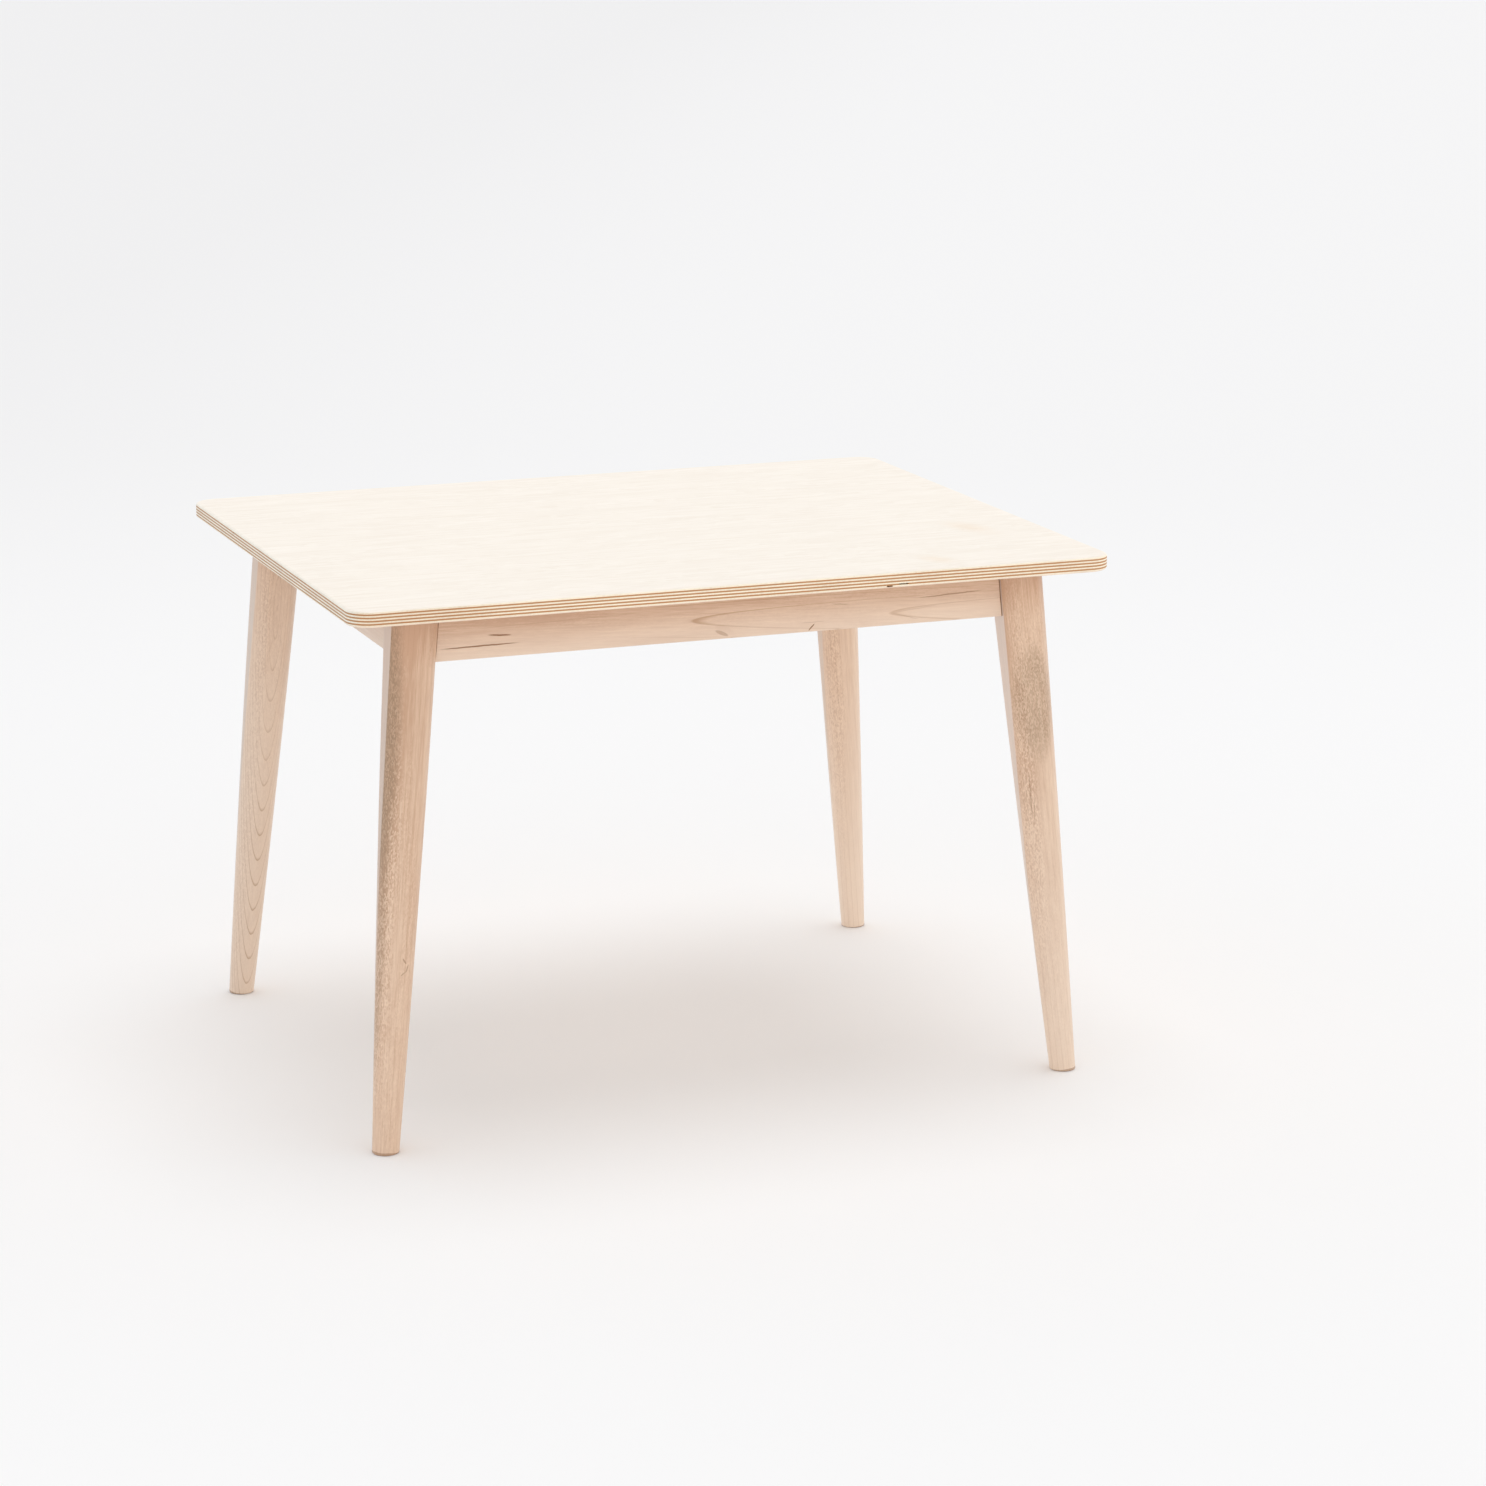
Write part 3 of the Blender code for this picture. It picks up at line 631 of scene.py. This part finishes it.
def sheet_outline(pockets):
    """(point, outward normal, pocket depth) round the sheet's edge, counter-clockwise."""
    outline = []
    half_x = top_high.x - TOP_CORNER_RADIUS
    half_y = top_high.y - TOP_CORNER_RADIUS
    quarters = ((1, 1, "back"), (-1, 1, "left"), (-1, -1, "front"), (1, -1, "right"))
    for quarter, (side_x, side_y, side) in enumerate(quarters):
        centre = Vector((side_x * half_x, side_y * half_y))
        for step in range(TOP_CORNER_STEPS + 1):
            angle = (quarter + step / TOP_CORNER_STEPS) * math.pi / 2
            normal = Vector((math.cos(angle), math.sin(angle)))
            outline.append((centre + normal * TOP_CORNER_RADIUS, normal, 0.0))
        point, normal, _ = outline[-1]
        onward = Vector((-normal.y, normal.x))
        for place, middle, length, depth in pockets:
            if place != side:
                continue
            start = middle * (onward.x + onward.y) - point.dot(onward)
            for share, deep in POCKET_OUTLINE:
                outline.append((point + onward * (start + share * length), normal, depth * deep))
    return outline


def ply_rows(low, high, pockets):
    outline = sheet_outline(pockets)
    rows = []
    for height in ply_heights(low, high):
        inset = edge_inset(height)
        ring = [point - normal * (inset + pocket) for point, normal, pocket in outline]
        rows.append([(point.x, point.y, height) for point in ring])
    return rows


def make_plies():
    """The sheet's layers from the top down, numbered from 1; every other inner one is darker."""
    inner = (top_high.z - top_low.z - 2 * FACE_VENEER) / (PLY_COUNT - 2)
    high = top_high.z
    random.seed(PLY_SEED)
    for number in range(1, PLY_COUNT + 1):
        is_face = number in (1, PLY_COUNT)
        low = high - (FACE_VENEER if is_face else inner)
        bm = tube(ply_rows(low, high, PLY_POCKETS.get(number, ())))
        name = "ply_%02d" % number
        if is_face:
            look = (*BIRCH_TOP, TOP_SPOTS) if number == 1 else BIRCH_UNDERSIDE
            material = birch_face("birch_face_%02d" % number, *look)
        else:
            colour = PLY_DARK if number % 2 else PLY_LIGHT
            material = birch_ply("birch_" + name, colour, random.random())
        mesh = finished_mesh(name, bm, material)
        flatten_caps(mesh)
        place_piece(name, mesh, ["tabletop"])
        high = low


def flatten_caps(mesh):
    """Keep the big level faces flat, so that only the sides are shaded round."""
    for polygon in mesh.polygons:
        if len(polygon.vertices) > 4:
            polygon.use_smooth = False


# ---------------------------------------------------------------- legs

def leg_matrix(corner):
    """Where a leg is, and its length: +Z runs up it from its foot's centre, X and Y face its flats."""
    side_x, side_y = CORNERS[corner]
    foot = Vector(mounts["foot_" + corner]["pos_m"])
    head = Vector((side_x * LEG_HEAD_X, side_y * LEG_HEAD_Y, top_low.z))
    up = (head - foot).normalized()
    across = (Vector((1, 0, 0)) - up * up.x).normalized()
    turn = Matrix((across, up.cross(across), up)).transposed()
    return Matrix.Translation(foot) @ turn.to_4x4(), (head - foot).length


def leg_radii(up, length):
    """Radius of the turned taper, and distance to the flats, at a height up the leg."""
    share = up / length
    turned = LEG_FOOT_RADIUS + (LEG_HEAD_RADIUS - LEG_FOOT_RADIUS) * share
    turned += 4 * LEG_SWELL * share * (1 - share)
    flat = LEG_FLAT_AT_FOOT + (LEG_FLAT_AT_HEAD - LEG_FLAT_AT_FOOT) * share
    return turned, flat


def leg_surface(up, length, angle):
    """Distance from the axis to the surface, with the creases slightly eased."""
    turned, flat = leg_radii(up, length)
    flat /= max(abs(math.cos(angle)), abs(math.sin(angle)))
    nearer = min(turned, flat)
    apart = abs(turned - flat) / LEG_CREASE_EASING
    return nearer - LEG_CREASE_EASING * math.log1p(math.exp(-apart))


def leg_columns(up, length):
    """Angles of the points round the leg: the same number at every height, crowded at creases."""
    turned, flat = leg_radii(up, length)
    crease = max(LEG_NARROWEST_FLAT, math.acos(min(1.0, flat / turned)))
    margin = LEG_CREASE_MARGIN
    inner = crease - margin
    outer = crease + margin
    quarter = [-crease, -inner]
    flat_steps = LEG_FLAT_COLUMNS + 1
    quarter += [inner * (2 * step / flat_steps - 1) for step in range(1, flat_steps)]
    quarter += [inner, crease, outer]
    arc = math.pi / 2 - 2 * outer
    quarter += [outer + arc * step / LEG_ARC_COLUMNS for step in range(1, LEG_ARC_COLUMNS + 1)]
    return [turn * math.pi / 2 + angle for turn in range(4) for angle in quarter]


def leg_ring(matrix, length, height, inset=0.0):
    """The leg's level section at a height above the floor, in the leg's own coordinates.

    The leg leans, so how far up it each point lies is found in a few rounds.
    """
    lean_x, lean_y, rise = matrix[2][:3]
    ring = []
    for angle in leg_columns(height / rise, length):
        direction = Vector((math.cos(angle), math.sin(angle)))
        up = height / rise
        for _ in range(LEVELLING_ROUNDS):
            radius = leg_surface(up, length, angle) - inset
            up = (height - radius * (direction.x * lean_x + direction.y * lean_y)) / rise
        ring.append((radius * direction.x, radius * direction.y, up))
    return ring


def make_leg(corner, material):
    matrix, length = leg_matrix(corner)
    rows = []
    for step in range(LEG_EASING_ROWS):
        turn = step / LEG_EASING_ROWS * math.pi / 2
        rise = LEG_FOOT_EASING * (1 - math.cos(turn))
        inset = LEG_FOOT_EASING * (1 - math.sin(turn))
        rows.append(leg_ring(matrix, length, rise, inset))
    for step in range(LEG_ROWS + 1):
        height = LEG_FOOT_EASING + (leg_top - LEG_FOOT_EASING) * step / LEG_ROWS
        rows.append(leg_ring(matrix, length, height))
    mesh = finished_mesh("maple_leg_" + corner, tube(rows, matrix), material)
    flatten_caps(mesh)
    place_piece(mesh.name, mesh, ["leg_" + corner])


# Patches on every leg: painted contact shade at the rim of its foot, and painted shade up at its head
# under the sheet
FOOT_CONTACT_SHADE = ((0.0, 0.0002), 0.0, (0.06, 0.0016), 0.55)
LEG_HEAD_SHADE = ((0.0, 0.505), 0.0, (0.10, 0.07), 0.7)
# Each leg's wood, as maple takes it, in the leg's own coordinates
LEG_WOOD = {
    "front_left": dict(
        pith=(0.11, -0.04, 0), direction=(0.012, 0.002, 1), spacing=0.0048, lines=0.22, flecks=0.45,
        tone=0.14, paler=(0.0, 0.40, 0.15), side_sheen_and_shade=(SIDE_SHADE_AND_SHEEN_GREY, 0.55),
        tints=[((-0.012, 0.420), 0.0, (0.036, 0.20), 0.45),
               ((-0.022, 0.360), 0.0, (0.014, 0.30), 0.90), LEG_HEAD_SHADE],
        blotches=[((-0.024, 0.375), 0.0, (0.0165, 0.19), 0.74),
                  ((-0.0235, 0.340), 0.0, (0.0055, 0.24), 0.60),
                  ((-0.020, 0.170), 0.0, (0.0090, 0.20), 0.45)],
        flecked=[((-0.017, 0.26), 0.0, (0.014, 0.29), 1.5)],
        marks_and_shade=[((0.004, 0.180), 0.9, (0.0035, 0.0009), 0.50),
               ((0.007, 0.173), 0.3, (0.0008, 0.0050), 0.50),
               ((0.003, 0.168), -0.7, (0.0030, 0.0008), 0.45), FOOT_CONTACT_SHADE]),
    "front_right": dict(
        pith=(-0.11, 0.043, 0), direction=(-0.010, 0.004, 1), spacing=0.0052, lines=0.22, flecks=0.40,
        tone=0.09, paler=(0.0, 0.42, 0.60), side_sheen_and_shade=(SIDE_SHEEN_PALE, 0.75),
        tints=[((-0.012, 0.290), 0.0, (0.016, 0.05), 0.35), LEG_HEAD_SHADE],
        blotches=[((-0.001, 0.368), 0.0, (0.027, 0.064), 0.38),
                  ((0.000, 0.335), 0.1, (0.016, 0.040), 0.20),
                  ((0.004, 0.400), -0.2, (0.010, 0.030), 0.16)],
        flecked=[((-0.014, 0.24), 0.0, (0.010, 0.27), 1.4), ((0.0, 0.40), 0.0, (0.024, 0.12), 0.25),
                 ((0.004, 0.13), 0.0, (0.016, 0.16), 0.35)],
        marks_and_shade=[((-0.013, 0.275), 0.0, (0.0007, 0.024), 0.40),
               ((-0.011, 0.262), 0.05, (0.0006, 0.016), 0.28), FOOT_CONTACT_SHADE]),
    "back_left": dict(
        pith=(0.004, -0.062, 0), direction=(-0.012, 0.10, 1), spacing=0.0034, wander=0.9, width=0.14,
        lines=0.60, tone=0.04, painted_shade=0.12, paler=(0.20, 0.60, 0.58), side_sheen_and_shade=(SIDE_SHADE_AND_SHEEN_GREY, 0.55),
        tints=[LEG_HEAD_SHADE],
        flecked=[((0.0, 0.25), 0.0, (0.03, 0.40), 0.45), ((-0.013, 0.25), 0.0, (0.010, 0.35), 1.2)],
        marks_and_shade=[FOOT_CONTACT_SHADE]),
    "back_right": dict(
        pith=(-0.10, 0.04, 0), direction=(-0.009, 0.004, 1), spacing=0.0050, lines=0.20, flecks=0.45,
        tone=0.05, paler=(0.0, 0.50, 0.72), side_sheen_and_shade=(SIDE_SHADE_AND_SHEEN_GREY, 0.35),
        tints=[LEG_HEAD_SHADE], flecked=[((-0.012, 0.22), 0.0, (0.010, 0.24), 1.3)], marks_and_shade=[FOOT_CONTACT_SHADE]),
}


def make_legs():
    for corner, wood in LEG_WOOD.items():
        make_leg(corner, maple("maple_" + corner, matrix=leg_matrix(corner)[0], **wood))


# ---------------------------------------------------------------- aprons

# Streaks, dots, faint lines and, last, painted shade in the joints against the two legs
FRONT_APRON_MARKS_AND_JOINT_SHADE = [
    ((-0.217, 0.4662), 0.07, (0.0125, 0.0009), 1.0),
    ((-0.236, 0.4576), -0.008, (0.041, 0.0008), 0.95),
    ((-0.160, 0.4750), -0.02, (0.090, 0.0005), 0.14),
    ((0.113, 0.4701), 0.08, (0.010, 0.0005), 0.50),
    ((0.0847, 0.4505), -0.80, (0.0048, 0.0007), 1.0),
    ((-0.004, 0.4515), 0.41, (0.0080, 0.0020), 0.40),
    ((0.0865, 0.4550), 0.0, (0.013, 0.0005), 0.25),
    ((0.1793, 0.4537), 0.28, (0.016, 0.0004), 0.25),
    ((0.190, 0.4600), -0.09, (0.026, 0.0004), 0.20),
    ((0.2245, 0.4713), -0.038, (0.037, 0.0007), 0.65),
    ((0.2757, 0.4695), -0.098, (0.0008, 0.040), 0.88),
    ((-0.2755, 0.4720), 0.098, (0.0010, 0.036), 0.90),
]
# Brown ends of a looping ring, painted shade under the sheet along the top left, and the tone along the
# lower edge
FRONT_APRON_TINTS = [
    ((-0.001, 0.4545), 0.41, (0.013, 0.0045), 0.80),
    ((-0.030, 0.4640), 0.25, (0.012, 0.0030), 0.40),
    ((-0.190, 0.5000), 0.03, (0.150, 0.050), 0.80),
    ((-0.060, 0.4490), 0.00, (0.090, 0.012), 0.30),
    ((0.200, 0.4520), 0.00, (0.090, 0.014), -0.35),
]
# Painted light: the aprons grow paler towards their lower edge, with painted shade up under the sheet
APRON_LIT_BELOW = (0.444, 0.487, 0.62)
FRONT_PITH_BEHIND = 0.045


def finish_aprons():
    outer_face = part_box("apron_front")[0].y
    aprons = {
        "apron_front": maple(
            "maple_front", (-0.036, outer_face + FRONT_PITH_BEHIND, 0.4653), (1, -0.0125, -0.038),
            0.0025, APRON_LIT_BELOW, lines=0.82, width=0.08, lined_from=-0.07, wander=0.12, flecks=0.25,
            tone=0.36, marks_and_shade=FRONT_APRON_MARKS_AND_JOINT_SHADE, tints=FRONT_APRON_TINTS),
        "apron_back": maple(
            "maple_back", (0.1, 0.16, 0.43), (1, 0.015, 0.02), 0.0029, APRON_LIT_BELOW,
            lines=0.30, flecks=0.2, tone=0.10),
        "apron_left": maple(
            "maple_left", (-0.24, 0.05, 0.40), (-0.012, 1, 0.02), 0.0027, APRON_LIT_BELOW,
            lines=0.28, flecks=0.2, tone=0.35, painted_shade=0.19),
        "apron_right": maple(
            "maple_right", (0.25, -0.05, 0.50), (0.01, 1, 0.025), 0.0030, APRON_LIT_BELOW,
            lines=0.28, flecks=0.2, tone=0.10),
    }
    for name, material in aprons.items():
        give_material(frame["nodes"][name], material)


def give_material(obj, material):
    obj.data.materials.clear()
    obj.data.materials.append(material)


# ---------------------------------------------------------------- steel parts

def corner_matrix(corner):
    """Where two aprons' inner faces meet: +Z points in towards the middle of the table, +Y up."""
    side_x, side_y = CORNERS[corner]
    front_low, front_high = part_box("apron_front")
    left_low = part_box("apron_left")[0]
    inner_x = -left_low.x - APRON_THICKNESS
    inner_y = -front_low.y - APRON_THICKNESS
    middle = (front_low.z + front_high.z) / 2
    inward = Vector((-side_x, -side_y, 0)).normalized()
    up = Vector((0, 0, 1))
    turn = Matrix((up.cross(inward), up, inward)).transposed()
    return Matrix.Translation((side_x * inner_x, side_y * inner_y, middle)) @ turn.to_4x4()


def thread_rows(start, end, radius, root, pitch, columns, rows_per_turn):
    """Rings of a screw thread between two heights; the thread fades out at both ends."""
    rows = []
    count = int((end - start) / pitch * rows_per_turn)
    for step in range(count + 1):
        height = start + (end - start) * step / count
        fade = min(1.0, (height - start) / pitch, (end - height) / pitch)
        row = []
        for column in range(columns):
            turn = column / columns
            share = (height / pitch - turn) % 1.0
            ridge = 1 - abs(2 * share - 1)
            reach = root + (radius - root) * ridge * fade
            angle = turn * math.tau
            row.append((reach * math.cos(angle), reach * math.sin(angle), height))
        rows.append(row)
    return rows


def round_row(radius, height, columns):
    angles = [math.tau * column / columns for column in range(columns)]
    return [(radius * math.cos(angle), radius * math.sin(angle), height) for angle in angles]


def stud_mesh(material):
    """A hanger bolt: coarse thread inside the leg, machine thread outside."""
    root = BOLT_RADIUS - BOLT_THREAD_DEPTH
    rows = [round_row(BOLT_POINT_RADIUS, BOLT_INSIDE, BOLT_COLUMNS)]
    rows += thread_rows(BOLT_INSIDE + BOLT_POINT_LENGTH, BOLT_SHOULDER - BOLT_PITCH, BOLT_RADIUS,
                        BOLT_WOOD_ROOT * root, BOLT_WOOD_PITCH, BOLT_COLUMNS, BOLT_WOOD_ROWS_PER_TURN)
    rows.append(round_row(BOLT_RADIUS, BOLT_SHOULDER, BOLT_COLUMNS))
    rows += thread_rows(BOLT_SHOULDER + BOLT_PITCH / 2, BOLT_OUTSIDE - BOLT_END_CHAMFER, BOLT_RADIUS,
                        root, BOLT_PITCH, BOLT_COLUMNS, ROWS_PER_TURN)
    rows.append(round_row(root, BOLT_OUTSIDE, BOLT_COLUMNS))
    return finished_mesh("hanger_bolt_thread", tube(rows), material)


def recess_depth(x, y):
    """Depth of the cross recess in a screw's head."""
    deepest = 0.0
    for along, across in ((abs(x), abs(y)), (abs(y), abs(x))):
        arm = min(1.0, max(0.0, (RECESS_REACH - along) / RECESS_SLOPE))
        wall = min(1.0, max(0.0, (RECESS_HALF_WIDTH - across) / RECESS_WALL))
        deepest = max(deepest, arm * wall)
    return RECESS_DEPTH * deepest


def screw_mesh(name, length, material):
    """A pan-head screw: the head is below z = 0 and the point is at the length."""
    rows = []
    flat = SCREW_HEAD_RADIUS - SCREW_HEAD_CROWN
    for step in range(1, SCREW_TOP_ROWS + 1):
        radius = flat * step / SCREW_TOP_ROWS
        top = SCREW_HEAD_DOME * (radius / flat) ** 2 - SCREW_HEAD_HEIGHT
        ring = round_row(radius, top, SCREW_COLUMNS)
        rows.append([(x, y, height + recess_depth(x, y)) for x, y, height in ring])
    for step in range(1, SCREW_CROWN_ROWS + 1):
        turn = step / SCREW_CROWN_ROWS * math.pi / 2
        reach = flat + SCREW_HEAD_CROWN * math.sin(turn)
        drop = SCREW_HEAD_DOME + SCREW_HEAD_CROWN * (1 - math.cos(turn))
        rows.append(round_row(reach, drop - SCREW_HEAD_HEIGHT, SCREW_COLUMNS))
    rows.append(round_row(SCREW_HEAD_RADIUS, 0, SCREW_COLUMNS))
    rows.append(round_row(SCREW_RADIUS, 0, SCREW_COLUMNS))
    rows += thread_rows(SCREW_NECK, length - SCREW_POINT_LENGTH, SCREW_RADIUS, SCREW_ROOT,
                        SCREW_PITCH, SCREW_COLUMNS, ROWS_PER_TURN)
    rows.append(round_row(SCREW_POINT_RADIUS, length, SCREW_COLUMNS))
    return finished_mesh(name, tube(rows), material)


def washer_mesh(material):
    edge = WASHER_EDGE
    high = WASHER_THICKNESS
    profile = [
        (WASHER_HOLE, edge), (WASHER_HOLE + edge, 0), (WASHER_RADIUS - edge, 0),
        (WASHER_RADIUS, edge), (WASHER_RADIUS, high - edge), (WASHER_RADIUS - edge, high),
        (WASHER_HOLE + edge, high), (WASHER_HOLE, high - edge),
    ]
    rows = [round_row(radius, height, WASHER_COLUMNS) for radius, height in profile]
    return finished_mesh("washer_shape", ring_shape(rows), material)


def nut_mesh(material):
    """A hexagon nut, its corners turned off at both ends, with a chamfered bore."""
    turned_off = NUT_TURNED_OFF * NUT_ACROSS_FLATS / 2
    tip = NUT_ACROSS_FLATS / 2 / math.cos(math.pi / 6)
    rise = (tip - turned_off) * math.tan(NUT_CHAMFER_ANGLE)
    steps = [(rise * share, turned_off + (tip - turned_off) * share) for share in NUT_CHAMFER_STEPS]
    rows = [hexagon_row(height, limit) for height, limit in steps]
    rows += [hexagon_row(NUT_HEIGHT - height, limit) for height, limit in reversed(steps)]
    bore = BOLT_RADIUS + NUT_BORE_PLAY
    mouth = bore + NUT_BORE_CHAMFER
    rows += [
        round_row(mouth, NUT_HEIGHT, NUT_COLUMNS),
        round_row(bore, NUT_HEIGHT - NUT_BORE_CHAMFER, NUT_COLUMNS),
        round_row(bore, NUT_BORE_CHAMFER, NUT_COLUMNS),
        round_row(mouth, 0, NUT_COLUMNS),
    ]
    return finished_mesh("nut_shape", ring_shape(rows), material)


def hexagon_row(height, limit):
    """The nut's hexagon at a height, with its corners turned off to a radius, the limit."""
    row = []
    for column in range(NUT_COLUMNS):
        angle = math.tau * column / NUT_COLUMNS
        off = (angle + math.pi / 6) % (math.pi / 3) - math.pi / 6
        radius = min(NUT_ACROSS_FLATS / 2 / math.cos(off), limit)
        row.append((radius * math.cos(angle), radius * math.sin(angle), height))
    return row


def aimed(origin, direction):
    """A matrix that puts local +Z along the direction, starting at the origin."""
    turn = Vector(direction).to_track_quat("Z", "Y").to_matrix().to_4x4()
    return Matrix.Translation(origin) @ turn


def bracket_screw_places(corner):
    """Screw positions of one bracket: +Z points into the apron, from its inner face."""
    side_x, side_y = CORNERS[corner]
    inner = corner_matrix(corner).translation
    along_x = inner.x - side_x * BRACKET_SCREW_ALONG
    along_y = inner.y - side_y * BRACKET_SCREW_ALONG
    places = {}
    for level, rise in (("upper", BRACKET_SCREW_RISE), ("lower", -BRACKET_SCREW_RISE)):
        height = inner.z + rise
        places["long_" + level] = aimed((along_x, inner.y, height), (0, side_y, 0))
        places["short_" + level] = aimed((inner.x, along_y, height), (side_x, 0, 0))
    return places


def lifted(height):
    return Matrix.Translation((0, 0, height))


def spun(angle):
    return Matrix.Rotation(angle, 4, "Z")


def place_bolt(index, corner, stud, washer, nut):
    """A corner's hanger bolt, with its washer and nut against the bracket."""
    place = corner_matrix(corner)
    outside = BRACKET_SETBACK + BRACKET_THICKNESS / 2 + GAP
    first, step = NUT_ANGLES
    washer_place = place @ lifted(outside)
    nut_place = place @ lifted(outside + WASHER_THICKNESS + GAP) @ spun(first + step * index)
    place_piece("threaded_stud_" + corner, stud, ["hanger_bolt_" + corner], place)
    place_piece("flat_washer_" + corner, washer, ["washer_" + corner], washer_place)
    place_piece("hex_nut_" + corner, nut, ["nut_" + corner], nut_place)


def place_bracket_screws(index, corner, screw):
    """A corner's four bracket screws, their heads on the bracket's lips."""
    seat = lifted(-BRACKET_THICKNESS - 2 * GAP)
    first, step = BRACKET_SCREW_ANGLES
    for number, (spot, spot_place) in enumerate(bracket_screw_places(corner).items()):
        name = corner + "_" + spot
        place = spot_place @ seat @ spun(first + step * number + index)
        place_piece("cross_head_" + name, screw, ["bracket_screw_" + name], place)


def place_top_screws(screw):
    """The long screws up through the aprons into the top."""
    for index, name in enumerate(sorted(n for n in frame["nodes"] if n.startswith("top_screw_"))):
        low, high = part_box(name)
        middle = (low + high) / 2
        place = Matrix.Translation((middle.x, middle.y, low.z + SCREW_HEAD_HEIGHT))
        place = place @ spun(TOP_SCREW_ANGLE_STEP * index)
        place_piece("long_" + name, screw, [name], place)


def finish_brackets(zinc):
    """Plate the CAD brackets and ease their edges."""
    for corner in CORNERS:
        bracket = frame["nodes"]["corner_bracket_" + corner]
        give_material(bracket, zinc)
        weld = bracket.modifiers.new("Weld", "WELD")
        weld.merge_threshold = WELD_REACH
        edge = bracket.modifiers.new("Edge", "BEVEL")
        edge.width = BRACKET_EDGE
        edge.segments = 2
        edge.limit_method = "ANGLE"
        edge.angle_limit = BRACKET_SHARP_ANGLE
        edge.harden_normals = True


def make_hardware():
    zinc = plated("zinc_plate", (0.74, 0.75, 0.77), 0.28, 0.4)
    steel = plated("bright_steel_finish", (0.70, 0.70, 0.71), 0.22, 1.1)
    stud = stud_mesh(steel)
    washer = washer_mesh(steel)
    nut = nut_mesh(steel)
    bracket_screw = screw_mesh("bracket_screw_shape", BRACKET_SCREW_LENGTH, zinc)
    for index, corner in enumerate(CORNERS):
        place_bolt(index, corner, stud, washer, nut)
        place_bracket_screws(index, corner, bracket_screw)
    place_top_screws(screw_mesh("top_screw_shape", TOP_SCREW_LENGTH, zinc))
    finish_brackets(zinc)


# ---------------------------------------------------------------- studio

def make_floor():
    bm = bmesh.new()
    bmesh.ops.create_grid(bm, x_segments=1, y_segments=1, size=FLOOR_SIZE / 2)
    bmesh.ops.translate(bm, verts=bm.verts, vec=(0, 0, -FLOOR_DROP))
    mesh = bpy.data.meshes.new("floor")
    bm.to_mesh(mesh)
    bm.free()
    graph = Graph("floor")
    place = graph.seen_from(graph.place, FLOOR_LINE_START, (0, 0, FLOOR_LINE_TURN))
    across, along, _ = graph.axes(place)
    # Painted shade, for light falling off behind the table and to the left
    behind = graph.fade(along, *SHADE_BEHIND)
    left = graph.fade(across, *SHADE_LEFT)
    painted_shade = graph.calc("ADD", behind, left, clamp=True)
    graph.feed(graph.shader.inputs["Base Color"], graph.mix(painted_shade, FLOOR_COLOUR, FLOOR_SHADE_COLOUR))
    graph.shader.inputs["Roughness"].default_value = 1.0
    graph.shader.inputs["Specular IOR Level"].default_value = 0.0
    mesh.materials.append(graph.material)
    floor = bpy.data.objects.new("floor", mesh)
    bpy.context.scene.collection.objects.link(floor)


def make_lights():
    world = bpy.data.worlds.new("studio")
    world.use_nodes = True
    nodes = world.node_tree.nodes
    place = nodes.new("ShaderNodeTexCoord")
    parts = nodes.new("ShaderNodeSeparateXYZ")
    height = nodes.new("ShaderNodeMapRange")
    height.inputs["To Min"].default_value = HORIZON_STRENGTH
    height.inputs["To Max"].default_value = ZENITH_STRENGTH
    across = nodes.new("ShaderNodeMapRange")
    across.data_type = "FLOAT_VECTOR"
    across.inputs["From Min"].default_value = (-1, -1, -1)
    across.inputs["To Min"].default_value = LEFT_LIGHT
    across.inputs["To Max"].default_value = RIGHT_LIGHT
    links = world.node_tree.links
    links.new(place.outputs["Generated"], parts.inputs[0])
    links.new(parts.outputs["Z"], height.inputs["Value"])
    background = nodes["Background"]
    links.new(parts.outputs["X"], across.inputs["Vector"])
    links.new(across.outputs["Vector"], background.inputs["Color"])
    links.new(height.outputs["Result"], background.inputs["Strength"])
    bpy.context.scene.world = world
    lamp = bpy.data.lights.new("overhead", "SUN")
    lamp.energy = KEY_ENERGY
    lamp.angle = KEY_SIZE
    key = bpy.data.objects.new("overhead", lamp)
    key.rotation_euler = (-KEY_FROM_BACK, KEY_FROM_RIGHT, 0)
    bpy.context.scene.collection.objects.link(key)


def make_camera():
    level = Vector((math.cos(CAMERA_HEADING), -math.sin(CAMERA_HEADING), 0))
    ahead = Vector((math.sin(CAMERA_HEADING), math.cos(CAMERA_HEADING), 0))
    forward = ahead * math.cos(CAMERA_DIP) - Vector((0, 0, math.sin(CAMERA_DIP)))
    upward = level.cross(forward)
    right = level * math.cos(CAMERA_ROLL) + upward * math.sin(CAMERA_ROLL)
    upward = upward * math.cos(CAMERA_ROLL) - level * math.sin(CAMERA_ROLL)
    camera = bpy.data.objects.new("camera", bpy.data.cameras.new("camera"))
    camera.data.sensor_width = CAMERA_SENSOR
    camera.data.lens = CAMERA_LENS
    camera.data.clip_end = 2 * FLOOR_SIZE
    turn = Matrix((right, upward, -forward)).transposed().to_4x4()
    camera.matrix_world = Matrix.Translation(CAMERA_PLACE) @ turn
    bpy.context.scene.collection.objects.link(camera)
    bpy.context.scene.camera = camera


make_camera()
make_floor()
make_lights()
bpy.context.scene.view_settings.view_transform = "Standard"
make_plies()
make_legs()
finish_aprons()
make_hardware()
